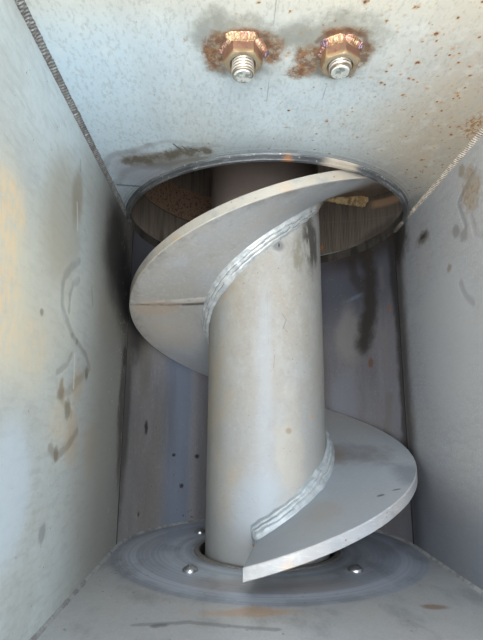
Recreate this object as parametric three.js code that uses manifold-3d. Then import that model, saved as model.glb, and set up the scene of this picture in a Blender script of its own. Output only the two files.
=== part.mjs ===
// Feed section of a dewatering screw press.
//
// An open hopper with a U-shaped trough stands between two end plates. A screw auger lies in the
// trough and runs through a round opening in the far end plate into the first bay of the screen
// basket. Its journal turns in a flange bearing outside the near end plate.
//
// Millimetres, +Z up. X runs across the trough and Y along the auger, towards the screen.
// Inside the group the auger axis is the line X = 0, Z = 0.

import * as THREE from 'three';
import { mergeVertices } from 'three/addons/utils/BufferGeometryUtils.js';
import Module from 'manifold-3d';

const wasm = await Module();
wasm.setup();

// Driving dimensions: hopper and trough
const axisHeight = 300;
const nearFace = -130;
const farFace = 222;
const troughRadius = 156.5;
const sheet = 5;
const rimAboveAxis = 400;
const plateHalfWidth = 200;
const nearPlate = 10;
const farPlate = 12;
const seamBelowAxis = 10;
const rimThickness = 8;

// Driving dimensions: auger
const flightRadius = 151;
const flightThickness = 10;
const tubeRadius = 63.5;
const tubeWall = 6.3;
const journalRadius = 30;
const journalChamfer = 2;
const tubeIntoGland = 8;
const tubeEndInset = 4;
const plugDepth = 20;
const runningClearance = 5;
const weldGap = 0.3;

// The pitch grows along the hopper: y = pitchAtZero * turns + pitchGrowth * turns^2, and the
// turns are counted from the angle where the middle of the flight passes y = 0. Past the far
// end plate the pitch stays as it is there.
const pitchAtZero = 292;
const pitchGrowth = 22.5;
const zeroAngle = 131.3;
const flightStartAngle = -11;
const flightJoints = [290, 620];
const flightEndInset = 16;

// Driving dimensions: screen basket
const openingRadius = 157;
const basketLength = 300;
const basketWall = 4;
const collar = { inner: 155, outer: 159.5, proud: 5, halfAngle: THREE.MathUtils.degToRad(78) };
const hoopRadius = 171;
const hoopWidth = 8;
const hoopPlaces = [1 / 3, 2 / 3];
const clampFlange = { width: 24, thickness: 8 };
const tieRod = { offset: 128, radius: 8, pastNut: 6 };
const rodNut = { acrossFlats: 24, height: 15 };

// Driving dimensions: drive end
const glandHole = 75;
const glandProud = 1;
const boltSquare = 73;
const bearingFlange = { half: 93, thickness: 14 };
const bearingBoss = { radius: 60, length: 30 };
const bearingPlay = 0.6;
const journalOverhang = 70;
const key = { width: 18, height: 11, length: 56, proud: 4.4, fromEnd: 8 };
const buttonScrew = { radius: 4, headRadius: 7, headHeight: 4.4, crownRadius: 3.2, pastNut: 3.5 };
const buttonShoulder = { radius: 5.6, height: 3.1 };
const screwNut = { acrossFlats: 13, height: 6.5 };

// Driving dimensions: weld nuts high on the far end plate
const nutHeightAboveAxis = 276.5;
const studRadius = 7;
const weldNut = { acrossFlats: 21, height: 11 };
const weldNuts = {
  left: { x: -33.5, turn: 0, studReach: 19.5 },
  right: { x: 25.9, turn: THREE.MathUtils.degToRad(30), studReach: 15 },
};
const boltHead = 9;
const bracketAngle = { leg: 60, thickness: 6, half: 75 };

// Driving dimensions: feet
const foot = { width: 90, length: 90, thickness: 10 };
const archHeight = 80;
const archCorner = 40;

// Fineness of round shapes, and how far joined or cut shapes run past the faces they share
const holePlay = 0.5;
const roundSteps = 72;
const smallSteps = 16;
const largeRadius = 60;
const degreesPerFlightStep = 4;
const overrun = 1;

// Places worked out from the driving dimensions
const nearOuter = nearFace - nearPlate;
const farOuter = farFace + farPlate;
const basketStart = farOuter;
const basketEnd = basketStart + basketLength;
const endPlateOuter = basketEnd + farPlate;
const bearingOuter = nearOuter - bearingFlange.thickness;
const bossOuter = bearingOuter - bearingBoss.length;
const journalEnd = bossOuter - journalOverhang;
const tieRodEnd = endPlateOuter + rodNut.height + tieRod.pastNut;
const tubeStart = nearFace - tubeIntoGland;
const tubeEnd = endPlateOuter - tubeEndInset;
const footTop = foot.thickness - axisHeight;
const farEnd = basketEnd + farPlate / 2 + foot.length / 2;
const middleY = (journalEnd + farEnd) / 2;

// Finishes
const stainless = new THREE.MeshStandardMaterial({ color: 0x9aa4a8, roughness: 0.45, metalness: 0.9 });
const darkStainless = new THREE.MeshStandardMaterial({ color: 0x7f8789, roughness: 0.5, metalness: 0.9 });
const augerSteel = new THREE.MeshStandardMaterial({ color: 0xa6aaa8, roughness: 0.42, metalness: 0.9 });
const stainedSteel = new THREE.MeshStandardMaterial({ color: 0x6f5d4c, roughness: 0.6, metalness: 0.7 });
const zincBolt = new THREE.MeshStandardMaterial({ color: 0xb9b3a6, roughness: 0.38, metalness: 0.9 });
const castIron = new THREE.MeshStandardMaterial({ color: 0x4f5a60, roughness: 0.65, metalness: 0.3 });

const object = new THREE.Group();
object.position.set(0, -middleY, axisHeight);

// Adds one piece as a mesh of its own
function addPiece(name, geometry, material) {
  const mesh = new THREE.Mesh(geometry, material);
  mesh.name = name;
  object.add(mesh);
}

// A closed geometry as a solid that can be joined and cut
function solid(geometry) {
  const bare = geometry.clone();
  bare.deleteAttribute('normal');
  bare.deleteAttribute('uv');
  const merged = mergeVertices(bare, 1e-4);
  return new wasm.Manifold(new wasm.Mesh({
    numProp: 3,
    vertProperties: merged.attributes.position.array,
    triVerts: new Uint32Array(merged.index.array),
  }));
}

// A joined or cut solid as a geometry again
function geometryOf(manifold) {
  const result = manifold.getMesh();
  const geometry = new THREE.BufferGeometry();
  geometry.setAttribute('position', new THREE.BufferAttribute(result.vertProperties, 3));
  geometry.setIndex(new THREE.BufferAttribute(result.triVerts, 1));
  return geometry;
}

// A rectangular block between two corners
function block(x0, x1, y0, y1, z0, z1) {
  const geometry = new THREE.BoxGeometry(x1 - x0, y1 - y0, z1 - z0);
  return geometry.translate((x0 + x1) / 2, (y0 + y1) / 2, (z0 + z1) / 2);
}

// Draws a round stretch of an outline about the point x, z, with more steps on a large radius
function drawArc(outline, x, z, radius, from, to) {
  const fullTurn = radius > largeRadius ? roundSteps : 2 * smallSteps;
  const steps = Math.ceil(Math.abs(to - from) / (2 * Math.PI) * fullTurn);
  for (let step = 0; step <= steps; step += 1) {
    const angle = from + (to - from) * step / steps;
    outline.lineTo(x + radius * Math.cos(angle), z + radius * Math.sin(angle));
  }
}

// An outline drawn in X and Z, made solid from y0 to y1
function plateAlongY(outline, y0, y1) {
  const geometry = new THREE.ExtrudeGeometry(outline, {
    depth: y1 - y0,
    bevelEnabled: false,
  });
  return geometry.rotateX(Math.PI / 2).translate(0, y1, 0);
}

// A round piece about the line at x, z along Y, from pairs of radius and y
function turnedAlongY(profile, x = 0, z = 0, steps = roundSteps) {
  const points = profile.map(([radius, y]) => new THREE.Vector2(radius, y));
  return new THREE.LatheGeometry(points, steps).translate(x, 0, z);
}

// A round bar or ring about the line at x, z along Y
function bar(radius, y0, y1, x = 0, z = 0, steps = smallSteps) {
  return turnedAlongY([[0, y0], [radius, y0], [radius, y1], [0, y1]], x, z, steps);
}

function ring(inner, outer, y0, y1) {
  return turnedAlongY([[inner, y0], [outer, y0], [outer, y1], [inner, y1], [inner, y0]]);
}

// A hexagonal prism along Y with one flat up, or turned from there
function hexagon(acrossFlats, y0, y1, x, z, turn = 0) {
  const circumradius = acrossFlats / Math.sqrt(3);
  const outline = new THREE.Shape();
  for (let corner = 0; corner < 6; corner += 1) {
    const angle = corner * Math.PI / 3 + turn;
    const px = x + circumradius * Math.cos(angle);
    const pz = z + circumradius * Math.sin(angle);
    if (corner === 0) outline.moveTo(px, pz);
    else outline.lineTo(px, pz);
  }
  outline.closePath();
  return plateAlongY(outline, y0, y1);
}

// A plate cut by round holes along Y, each given as x, z and radius
function drilled(geometry, y0, y1, holes) {
  let result = solid(geometry);
  for (const [x, z, radius] of holes) {
    const steps = radius > journalRadius ? roundSteps : smallSteps;
    result = result.subtract(solid(bar(radius, y0 - overrun, y1 + overrun, x, z, steps)));
  }
  return geometryOf(result);
}

// Outline of a plate that stands on two legs, with a square top or a round one
function standingOutline(topHeight, roundTop) {
  const outline = new THREE.Shape();
  const legInside = plateHalfWidth - foot.width;
  const archTop = footTop + archHeight;
  outline.moveTo(-plateHalfWidth, footTop);
  outline.lineTo(-legInside, footTop);
  drawArc(outline, -legInside + archCorner, archTop - archCorner, archCorner, Math.PI, Math.PI / 2);
  drawArc(outline, legInside - archCorner, archTop - archCorner, archCorner, Math.PI / 2, 0);
  outline.lineTo(legInside, footTop);
  outline.lineTo(plateHalfWidth, footTop);
  if (roundTop) {
    drawArc(outline, 0, topHeight, plateHalfWidth, 0, Math.PI);
  } else {
    outline.lineTo(plateHalfWidth, topHeight);
    outline.lineTo(-plateHalfWidth, topHeight);
  }
  outline.closePath();
  return outline;
}

// End plates: the near one carries the drive, the far one opens into the screen basket
const squareCorners = [[-1, -1], [1, -1], [1, 1], [-1, 1]];
const screwHoles = squareCorners.map(([sx, sz]) => [
  sx * boltSquare, sz * boltSquare, buttonScrew.radius + holePlay,
]);
const studHoles = Object.values(weldNuts).map(({ x }) => [x, nutHeightAboveAxis, studRadius + holePlay]);
const rodHoles = squareCorners.map(([sx, sz]) => [
  sx * tieRod.offset, sz * tieRod.offset, tieRod.radius + holePlay,
]);

addPiece('near_end_plate', drilled(
  plateAlongY(standingOutline(rimAboveAxis, false), nearOuter, nearFace),
  nearOuter, nearFace, [[0, 0, glandHole], ...screwHoles],
), stainless);
addPiece('far_end_plate', drilled(
  plateAlongY(standingOutline(rimAboveAxis, false), farFace, farOuter),
  farFace, farOuter, [[0, 0, openingRadius], ...studHoles],
), stainless);
addPiece('basket_end_plate', drilled(
  plateAlongY(standingOutline(0, true), basketEnd, endPlateOuter),
  basketEnd, endPlateOuter, [[0, 0, openingRadius], ...rodHoles],
), stainless);

// Inlet collar: the sleeve of the opening stands proud of the plate over the upper part of its turn
function collarOutline() {
  const outline = new THREE.Shape();
  const start = Math.PI / 2 - collar.halfAngle;
  const end = Math.PI / 2 + collar.halfAngle;
  outline.moveTo(collar.inner * Math.cos(start), collar.inner * Math.sin(start));
  drawArc(outline, 0, 0, collar.outer, start, end);
  drawArc(outline, 0, 0, collar.inner, end, start);
  outline.closePath();
  return outline;
}
addPiece('inlet_collar', plateAlongY(collarOutline(), farFace - collar.proud, farFace), stainless);

// Side walls, which meet the trough at a seam a little below the auger axis
const wallOuter = troughRadius + sheet;
addPiece('left_wall', block(
  -wallOuter, -troughRadius, nearFace, farFace, -seamBelowAxis, rimAboveAxis,
), stainless);
addPiece('right_wall', block(
  troughRadius, wallOuter, nearFace, farFace, -seamBelowAxis, rimAboveAxis,
), stainless);

// Trough: a half round of the same sheet, hung under the walls from seam to seam
function troughOutline() {
  const outline = new THREE.Shape();
  const outerAngle = Math.asin(seamBelowAxis / wallOuter);
  const innerAngle = Math.asin(seamBelowAxis / troughRadius);
  outline.moveTo(-troughRadius * Math.cos(innerAngle), -seamBelowAxis);
  drawArc(outline, 0, 0, wallOuter, Math.PI + outerAngle, 2 * Math.PI - outerAngle);
  drawArc(outline, 0, 0, troughRadius, -innerAngle, innerAngle - Math.PI);
  outline.closePath();
  return outline;
}
addPiece('trough', plateAlongY(troughOutline(), nearFace, farFace), darkStainless);

// Rim: four flat bars round the mouth, flush with the top of the walls
const rimLow = rimAboveAxis - rimThickness;
const rimWidth = plateHalfWidth - wallOuter;
addPiece('rim_left', block(
  -plateHalfWidth, -wallOuter, nearFace, farFace, rimLow, rimAboveAxis,
), stainless);
addPiece('rim_right', block(
  wallOuter, plateHalfWidth, nearFace, farFace, rimLow, rimAboveAxis,
), stainless);
addPiece('rim_near', block(
  -plateHalfWidth, plateHalfWidth, nearOuter - rimWidth, nearOuter, rimLow, rimAboveAxis,
), stainless);
addPiece('rim_far', block(
  -plateHalfWidth, plateHalfWidth, farOuter, farOuter + rimWidth, rimLow, rimAboveAxis,
), stainless);

// Feet: a flat pad under each leg of the three standing plates
const legMiddle = plateHalfWidth - foot.width / 2;
const standingPlates = {
  near: (nearOuter + nearFace) / 2,
  far: (farFace + farOuter) / 2,
  basket: (basketEnd + endPlateOuter) / 2,
};
for (const [place, y] of Object.entries(standingPlates)) {
  for (const [side, sx] of [['left', -1], ['right', 1]]) {
    const x = sx * legMiddle;
    addPiece(`foot_${place}_${side}`, block(
      x - foot.width / 2, x + foot.width / 2,
      y - foot.length / 2, y + foot.length / 2,
      -axisHeight, footTop,
    ), stainless);
  }
}

// Weld nuts on the far end plate, with the bolts that hold a cover bracket outside
const bracketOuter = farOuter + bracketAngle.thickness;
for (const [side, { x, turn, studReach }] of Object.entries(weldNuts)) {
  const nutFront = farFace - weldNut.height;
  addPiece(`weld_nut_${side}`, drilled(
    hexagon(weldNut.acrossFlats, nutFront, farFace, x, nutHeightAboveAxis, turn),
    nutFront, farFace, [[x, nutHeightAboveAxis, studRadius + weldGap]],
  ), zincBolt);
  const shank = solid(bar(studRadius, farFace - studReach, bracketOuter + overrun, x, nutHeightAboveAxis));
  const head = solid(hexagon(
    weldNut.acrossFlats, bracketOuter, bracketOuter + boltHead, x, nutHeightAboveAxis,
  ));
  addPiece(`bracket_bolt_${side}`, geometryOf(shank.add(head)), zincBolt);
}

// Cover bracket: a short angle on the outside of the far end plate, above the screen basket
const bracketTop = nutHeightAboveAxis + bracketAngle.leg / 2;
const bracketMiddle = (weldNuts.left.x + weldNuts.right.x) / 2;
const bracketUpright = drilled(block(
  bracketMiddle - bracketAngle.half, bracketMiddle + bracketAngle.half,
  farOuter, bracketOuter, bracketTop - bracketAngle.leg, bracketTop,
), farOuter, bracketOuter, studHoles);
const bracketShelf = block(
  bracketMiddle - bracketAngle.half, bracketMiddle + bracketAngle.half,
  farOuter, farOuter + bracketAngle.leg, bracketTop - bracketAngle.thickness, bracketTop,
);
addPiece('cover_bracket', geometryOf(solid(bracketUpright).add(solid(bracketShelf))), stainless);

// Gland ring in the near end plate, clear of the turning tube all round
addPiece('gland_ring', ring(
  tubeRadius + runningClearance, glandHole - weldGap, nearOuter, nearFace + glandProud,
), stainedSteel);

// Flange bearing outside the near end plate: a square flange with a round boss
const bearingBore = journalRadius + bearingPlay;
const squareFlange = block(
  -bearingFlange.half, bearingFlange.half, bearingOuter, nearOuter,
  -bearingFlange.half, bearingFlange.half,
);
const boss = solid(bar(bearingBoss.radius, bossOuter, bearingOuter + overrun, 0, 0, roundSteps));
const bearingBody = geometryOf(solid(squareFlange).add(boss));
addPiece('flange_bearing', drilled(
  bearingBody, bossOuter, nearOuter, [[0, 0, bearingBore], ...screwHoles],
), castIron);

// Button-head screws through the near end plate, each with its nut behind the bearing flange
squareCorners.forEach(([sx, sz], index) => {
  const x = sx * boltSquare;
  const z = sz * boltSquare;
  const nutOuter = bearingOuter - screwNut.height;
  const screwEnd = nutOuter - buttonScrew.pastNut;
  const screw = solid(turnedAlongY([
    [0, screwEnd],
    [buttonScrew.radius, screwEnd],
    [buttonScrew.radius, nearFace],
    [buttonScrew.headRadius, nearFace],
    [buttonShoulder.radius, nearFace + buttonShoulder.height],
    [buttonScrew.crownRadius, nearFace + buttonScrew.headHeight],
    [0, nearFace + buttonScrew.headHeight],
  ], x, z, smallSteps));
  const hexNut = solid(hexagon(screwNut.acrossFlats, nutOuter, bearingOuter, x, z));
  addPiece(`flange_screw_${index + 1}`, geometryOf(screw.add(hexNut)), zincBolt);
});

// Screen basket: two half shells, which meet at clamping flanges on either side
function sectorOutline(inner, outer, upper) {
  const outline = new THREE.Shape();
  const start = upper ? 0 : Math.PI;
  outline.moveTo(upper ? inner : -inner, 0);
  drawArc(outline, 0, 0, outer, start, start + Math.PI);
  drawArc(outline, 0, 0, inner, start + Math.PI, start);
  outline.closePath();
  return outline;
}

function basketHalf(upper) {
  const shell = plateAlongY(
    sectorOutline(openingRadius, openingRadius + basketWall, upper), basketStart, basketEnd,
  );
  let half = solid(shell);
  const flangeLow = upper ? 0 : -clampFlange.thickness;
  for (const side of [-1, 1]) {
    const innerX = side * (openingRadius + overrun);
    const outerX = side * (openingRadius + basketWall + clampFlange.width);
    half = half.add(solid(block(
      Math.min(innerX, outerX), Math.max(innerX, outerX),
      basketStart, basketEnd, flangeLow, flangeLow + clampFlange.thickness,
    )));
  }
  return geometryOf(half);
}
addPiece('basket_upper', basketHalf(true), stainedSteel);
addPiece('basket_lower', basketHalf(false), stainedSteel);

// Hoops round the basket, in halves that end at the clamping flanges
function hoopOutline(upper) {
  const inner = openingRadius + basketWall + weldGap;
  const outline = new THREE.Shape();
  const side = upper ? 1 : -1;
  const clearOfFlange = clampFlange.thickness + weldGap;
  const innerEnd = Math.asin(clearOfFlange / inner);
  const outerEnd = Math.asin(clearOfFlange / hoopRadius);
  const start = upper ? 0 : Math.PI;
  outline.moveTo(side * inner * Math.cos(innerEnd), side * clearOfFlange);
  drawArc(outline, 0, 0, hoopRadius, start + outerEnd, start + Math.PI - outerEnd);
  drawArc(outline, 0, 0, inner, start + Math.PI - innerEnd, start + innerEnd);
  outline.closePath();
  return outline;
}

hoopPlaces.forEach((place, index) => {
  const y = basketStart + place * basketLength;
  for (const [half, upper] of [['upper', true], ['lower', false]]) {
    const hoop = plateAlongY(hoopOutline(upper), y - hoopWidth / 2, y + hoopWidth / 2);
    addPiece(`basket_hoop_${half}_${index + 1}`, hoop, stainless);
  }
});

// Tie rods from the far end plate to the basket end plate, each with its nut
squareCorners.forEach(([sx, sz], index) => {
  const x = sx * tieRod.offset;
  const z = sz * tieRod.offset;
  const rod = solid(bar(tieRod.radius, farOuter, tieRodEnd, x, z));
  const endNut = solid(hexagon(rodNut.acrossFlats, endPlateOuter, endPlateOuter + rodNut.height, x, z));
  addPiece(`tie_rod_${index + 1}`, geometryOf(rod.add(endNut)), zincBolt);
});

// Auger tube, and the plugs that close its two ends
addPiece('auger_tube', ring(tubeRadius - tubeWall, tubeRadius, tubeStart, tubeEnd), augerSteel);

const plugRadius = tubeRadius - tubeWall - weldGap;
const journalBody = solid(turnedAlongY([
  [0, journalEnd],
  [journalRadius - journalChamfer, journalEnd],
  [journalRadius, journalEnd + journalChamfer],
  [journalRadius, tubeStart],
  [plugRadius, tubeStart],
  [plugRadius, tubeStart + plugDepth],
  [0, tubeStart + plugDepth],
], 0, 0, roundSteps / 2));
const keyStart = journalEnd + key.fromEnd;
const keySeat = journalRadius - key.height + key.proud;
const keyway = block(
  -key.width / 2 - weldGap, key.width / 2 + weldGap,
  keyStart - weldGap, keyStart + key.length + weldGap,
  keySeat - weldGap, journalRadius + overrun,
);
addPiece('drive_journal', geometryOf(journalBody.subtract(solid(keyway))), augerSteel);
addPiece('journal_key', block(
  -key.width / 2, key.width / 2, keyStart, keyStart + key.length, keySeat, keySeat + key.height,
), zincBolt);
addPiece('auger_end_cap', bar(plugRadius, tubeEnd - plugDepth, tubeEnd, 0, 0, roundSteps), augerSteel);

// Turns at which the flight passes the far end plate, and its pitch from there on
const turnsAtPlate = (Math.sqrt(pitchAtZero ** 2 + 4 * pitchGrowth * farOuter) - pitchAtZero)
  / (2 * pitchGrowth);
const basketPitch = pitchAtZero + 2 * pitchGrowth * turnsAtPlate;

// Middle of the flight along Y at an angle in degrees, from straight up towards +X
function flightMiddle(angle) {
  const turns = (angle - zeroAngle) / 360;
  if (turns <= turnsAtPlate) return pitchAtZero * turns + pitchGrowth * turns ** 2;
  return farOuter + basketPitch * (turns - turnsAtPlate);
}

// One flight blank: a straight bar of plate, bent into the helix round the tube
function flight(startAngle, endAngle) {
  const inner = tubeRadius + weldGap;
  const steps = Math.round((endAngle - startAngle) / degreesPerFlightStep);
  const geometry = new THREE.BoxGeometry(1, 1, 1, 1, 1, steps);
  const position = geometry.attributes.position;
  for (let index = 0; index < position.count; index += 1) {
    const radius = inner + (position.getX(index) + 0.5) * (flightRadius - inner);
    const side = -position.getY(index);
    const angle = startAngle + (position.getZ(index) + 0.5) * (endAngle - startAngle);
    const slope = pitchAtZero / (2 * Math.PI * radius);
    const y = flightMiddle(angle) + side * flightThickness * Math.hypot(1, slope);
    const radians = THREE.MathUtils.degToRad(angle);
    position.setXYZ(index, radius * Math.sin(radians), y, radius * Math.cos(radians));
  }
  return geometry;
}

// The blanks meet at radial butt joints, and the last one ends inside the basket end plate
const jointGap = 0.12;
const lastTurns = turnsAtPlate + (endPlateOuter - flightEndInset - farOuter) / basketPitch;
const lastAngle = zeroAngle + 360 * lastTurns;
const flightEnds = [flightStartAngle, ...flightJoints, lastAngle];
for (let blank = 0; blank + 1 < flightEnds.length; blank += 1) {
  const start = flightEnds[blank] + (blank > 0 ? jointGap : 0);
  addPiece(`auger_flight_${blank + 1}`, flight(start, flightEnds[blank + 1]), augerSteel);
}

export default object;
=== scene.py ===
# %% [markdown]
# # Feed hopper of a screw press
# A screw press squeezes water out of wet material. This is its feed end: an open hopper over a
# U-shaped trough, an auger on a thick tube, and the round opening where the auger carries the
# material into the screen basket. The solid model comes in as a fixed frame. Every cell below
# gives one part of it its real surface: welds, threads, worn rings, rust and brown stains.

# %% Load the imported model
import math

import bmesh
import bpy
from mathutils import Matrix, Vector, noise


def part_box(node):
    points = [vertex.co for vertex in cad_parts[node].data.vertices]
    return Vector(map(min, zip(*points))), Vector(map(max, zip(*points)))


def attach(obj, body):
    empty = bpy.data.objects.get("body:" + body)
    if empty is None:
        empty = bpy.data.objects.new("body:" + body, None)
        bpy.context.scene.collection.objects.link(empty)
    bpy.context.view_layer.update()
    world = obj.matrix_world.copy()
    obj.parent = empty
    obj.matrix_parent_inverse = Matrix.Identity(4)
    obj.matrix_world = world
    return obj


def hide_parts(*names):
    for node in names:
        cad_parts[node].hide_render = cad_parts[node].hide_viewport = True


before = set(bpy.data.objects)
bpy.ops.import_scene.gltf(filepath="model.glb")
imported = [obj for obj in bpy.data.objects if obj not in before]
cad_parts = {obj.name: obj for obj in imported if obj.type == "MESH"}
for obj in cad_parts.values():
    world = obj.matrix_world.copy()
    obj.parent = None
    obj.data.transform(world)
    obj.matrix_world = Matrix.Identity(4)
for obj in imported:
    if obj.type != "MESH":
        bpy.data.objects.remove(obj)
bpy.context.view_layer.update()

# %% [markdown]
# ## Places
# The frame already knows where everything is, so the places come from it: the faces of the end
# plates, the line of the auger and the radius of its tube. Only sizes that the solids don't
# carry, such as the width of a weld, are written down as real sizes in metres.

# %% Places taken from the frame
MM = 0.001
far_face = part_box("far_end_plate")[0].y
far_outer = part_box("far_end_plate")[1].y
near_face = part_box("near_end_plate")[1].y
near_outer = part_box("near_end_plate")[0].y
tube_low, tube_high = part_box("auger_tube")
tube_radius = (tube_high.x - tube_low.x) / 2
axis_z = (tube_low.z + tube_high.z) / 2
half_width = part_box("right_wall")[0].x
seam_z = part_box("right_wall")[0].z
plate_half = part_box("far_end_plate")[1].x
rim_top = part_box("rim_left")[1].z
basket_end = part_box("basket_end_plate")[0].y
basket_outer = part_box("basket_end_plate")[1].y
print("auger axis at height", round(axis_z, 4), "tube radius", round(tube_radius, 4))

# %% [markdown]
# ## The auger's law
# The flight climbs along the tube as it turns. Its pitch grows a little towards the screen, so
# the place along Y is a quadratic in the turns, and past the far plate it climbs evenly. All of
# the auger's pieces, and the welds that hold them, follow this one law.

# %% The helix
PITCH = 292 * MM
PITCH_GROWTH = 22.5 * MM
ZERO_ANGLE = 131.3
START_ANGLE = -11
JOINT_ANGLES = (290, 620)
FLIGHT_RADIUS = 151 * MM
FLIGHT_THICK = 10 * MM
helix_zero = far_face - 222 * MM
plate_distance = far_outer - helix_zero
plate_turns = (math.sqrt(PITCH ** 2 + 4 * PITCH_GROWTH * plate_distance) - PITCH) / (2 * PITCH_GROWTH)
late_pitch = PITCH + 2 * PITCH_GROWTH * plate_turns
flight_end_y = basket_outer - 16 * MM
END_ANGLE = ZERO_ANGLE + 360 * (plate_turns + (flight_end_y - far_outer) / late_pitch)


def helix_y(angle):
    turns = (angle - ZERO_ANGLE) / 360
    if turns <= plate_turns:
        return helix_zero + PITCH * turns + PITCH_GROWTH * turns ** 2
    return far_outer + late_pitch * (turns - plate_turns)


def half_thickness(radius):
    """Half of the flight's thickness along Y, which grows towards the steep inside."""
    return FLIGHT_THICK / 2 * math.hypot(1, PITCH / (2 * math.pi * radius))


def outward(angle):
    """The direction from the axis at an angle from straight up."""
    radians = math.radians(angle)
    return Vector((math.sin(radians), 0, math.cos(radians)))


def on_axis(y):
    return Vector((0, y, axis_z))

# %% [markdown]
# ## Camera
# The photograph looks down into the hopper from just above its mouth, tilted a little towards
# the screen end. A camera has no scale of its own, so it was fitted to straight seams and round
# edges: the tilt, the distance and the focal length below make them fall on the same pixels.

# %% Camera at the photograph's view
PHOTO_HEIGHT_PX = 640
FOCAL_PX = 478.3
SENSOR_MM = 36
camera_place = Vector((-39.5 * MM, far_face - 222 * MM, axis_z + 529.5 * MM))
tilt, swing, roll = (math.radians(angle) for angle in (11.76, -1.33, 0.26))


def turned_view(vector):
    """A direction turned by the camera's small swing to one side."""
    x, y, z = vector
    cos_swing, sin_swing = math.cos(swing), math.sin(swing)
    return Vector((cos_swing * x + sin_swing * z, y, -sin_swing * x + cos_swing * z))


forward = Vector((0, math.sin(tilt), -math.cos(tilt)))
upward = Vector((0, math.cos(tilt), math.sin(tilt)))
sideways = Vector((1, 0, 0))
right = turned_view(math.cos(roll) * sideways + math.sin(roll) * upward)
up = turned_view(math.cos(roll) * upward - math.sin(roll) * sideways)
forward = turned_view(forward)

camera_data = bpy.data.cameras.new("photo_view")
camera_data.sensor_fit = "VERTICAL"
camera_data.sensor_height = SENSOR_MM
camera_data.sensor_width = SENSOR_MM
camera_data.lens = FOCAL_PX / PHOTO_HEIGHT_PX * SENSOR_MM
camera_data.clip_start = 0.01
camera = bpy.data.objects.new("photo_view", camera_data)
camera.matrix_world = Matrix.Translation(camera_place) @ Matrix((right, up, -forward)).transposed().to_4x4()
bpy.context.scene.collection.objects.link(camera)
bpy.context.scene.camera = camera
print("lens", round(camera_data.lens, 2), "mm")

# %% [markdown]
# ## Light
# The press stood outdoors under a bright sky, so the light is broad and soft. The widest share
# comes from the left and the drive end, which makes the left wall and the tube bright and
# leaves the right wall in shade. Pale daylight from all round closes the rest, so that the
# plain steel has something to reflect. The plain display transform keeps the greys as they are.


# %% Soft light and pale floor
def light_panel(name, place, size, watts):
    """A square soft light that faces the middle of the hopper."""
    lamp = bpy.data.lights.new(name, "AREA")
    lamp.size = size
    lamp.energy = watts
    holder = bpy.data.objects.new(name, lamp)
    holder.location = place
    target = Vector((0, (near_face + far_face) / 2, axis_z + 0.1))
    holder.rotation_euler = (target - holder.location).to_track_quat("-Z", "Y").to_euler()
    bpy.context.scene.collection.objects.link(holder)


light_panel("sky_left", (-1.5, -0.3, 1.9), 1.2, 87)
light_panel("sky_right", (1.5, -0.3, 1.9), 1.2, 16)
light_panel("sky_near", (0.0, -1.7, 1.7), 1.2, 50)
light_panel("sky_far", (0.0, 1.3, 1.9), 1.2, 37)
light_panel("mouth", (0.0, -0.2, 1.15), 0.4, 7)

sky = bpy.data.worlds.new("pale_sky")
sky.use_nodes = True
sky.node_tree.nodes["Background"].inputs["Color"].default_value = (0.9, 0.94, 1.0, 1)
sky.node_tree.nodes["Background"].inputs["Strength"].default_value = 0.24
bpy.context.scene.world = sky
bpy.context.scene.view_settings.view_transform = "Standard"

FLOOR_HALF = 6
floor_mesh = bpy.data.meshes.new("floor")
floor_corners = [(-1, -1), (1, -1), (1, 1), (-1, 1)]
floor_mesh.from_pydata([(x * FLOOR_HALF, y * FLOOR_HALF, 0) for x, y in floor_corners], [], [(0, 1, 2, 3)])
floor = bpy.data.objects.new("floor", floor_mesh)
bpy.context.scene.collection.objects.link(floor)
print("lights", len(bpy.data.lights))

# %% [markdown]
# ## Finishes
# Old stainless steel is one metal with many faces: pickled grey sheet, ground edges, heat tint
# round a weld, grease, rust that came from other steel. Each finish here is a small tree of
# nodes that reads the place of a point on the object, in metres, so a stain stays where it is
# when the object turns. The class below keeps such trees short: every method adds one idea and
# hands back its output.


# %% A helper that builds node trees
def shade(red, green, blue):
    """A colour given as screen values from 0 to 255, made linear for the shader."""
    return tuple(((value / 255 + 0.055) / 1.055) ** 2.4 for value in (red, green, blue)) + (1,)


def spot(across, along, above):
    """A place in millimetres: from the middle, from the far plate's face and from the axis."""
    return Vector((across * MM, far_face + along * MM, axis_z + above * MM))


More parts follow.
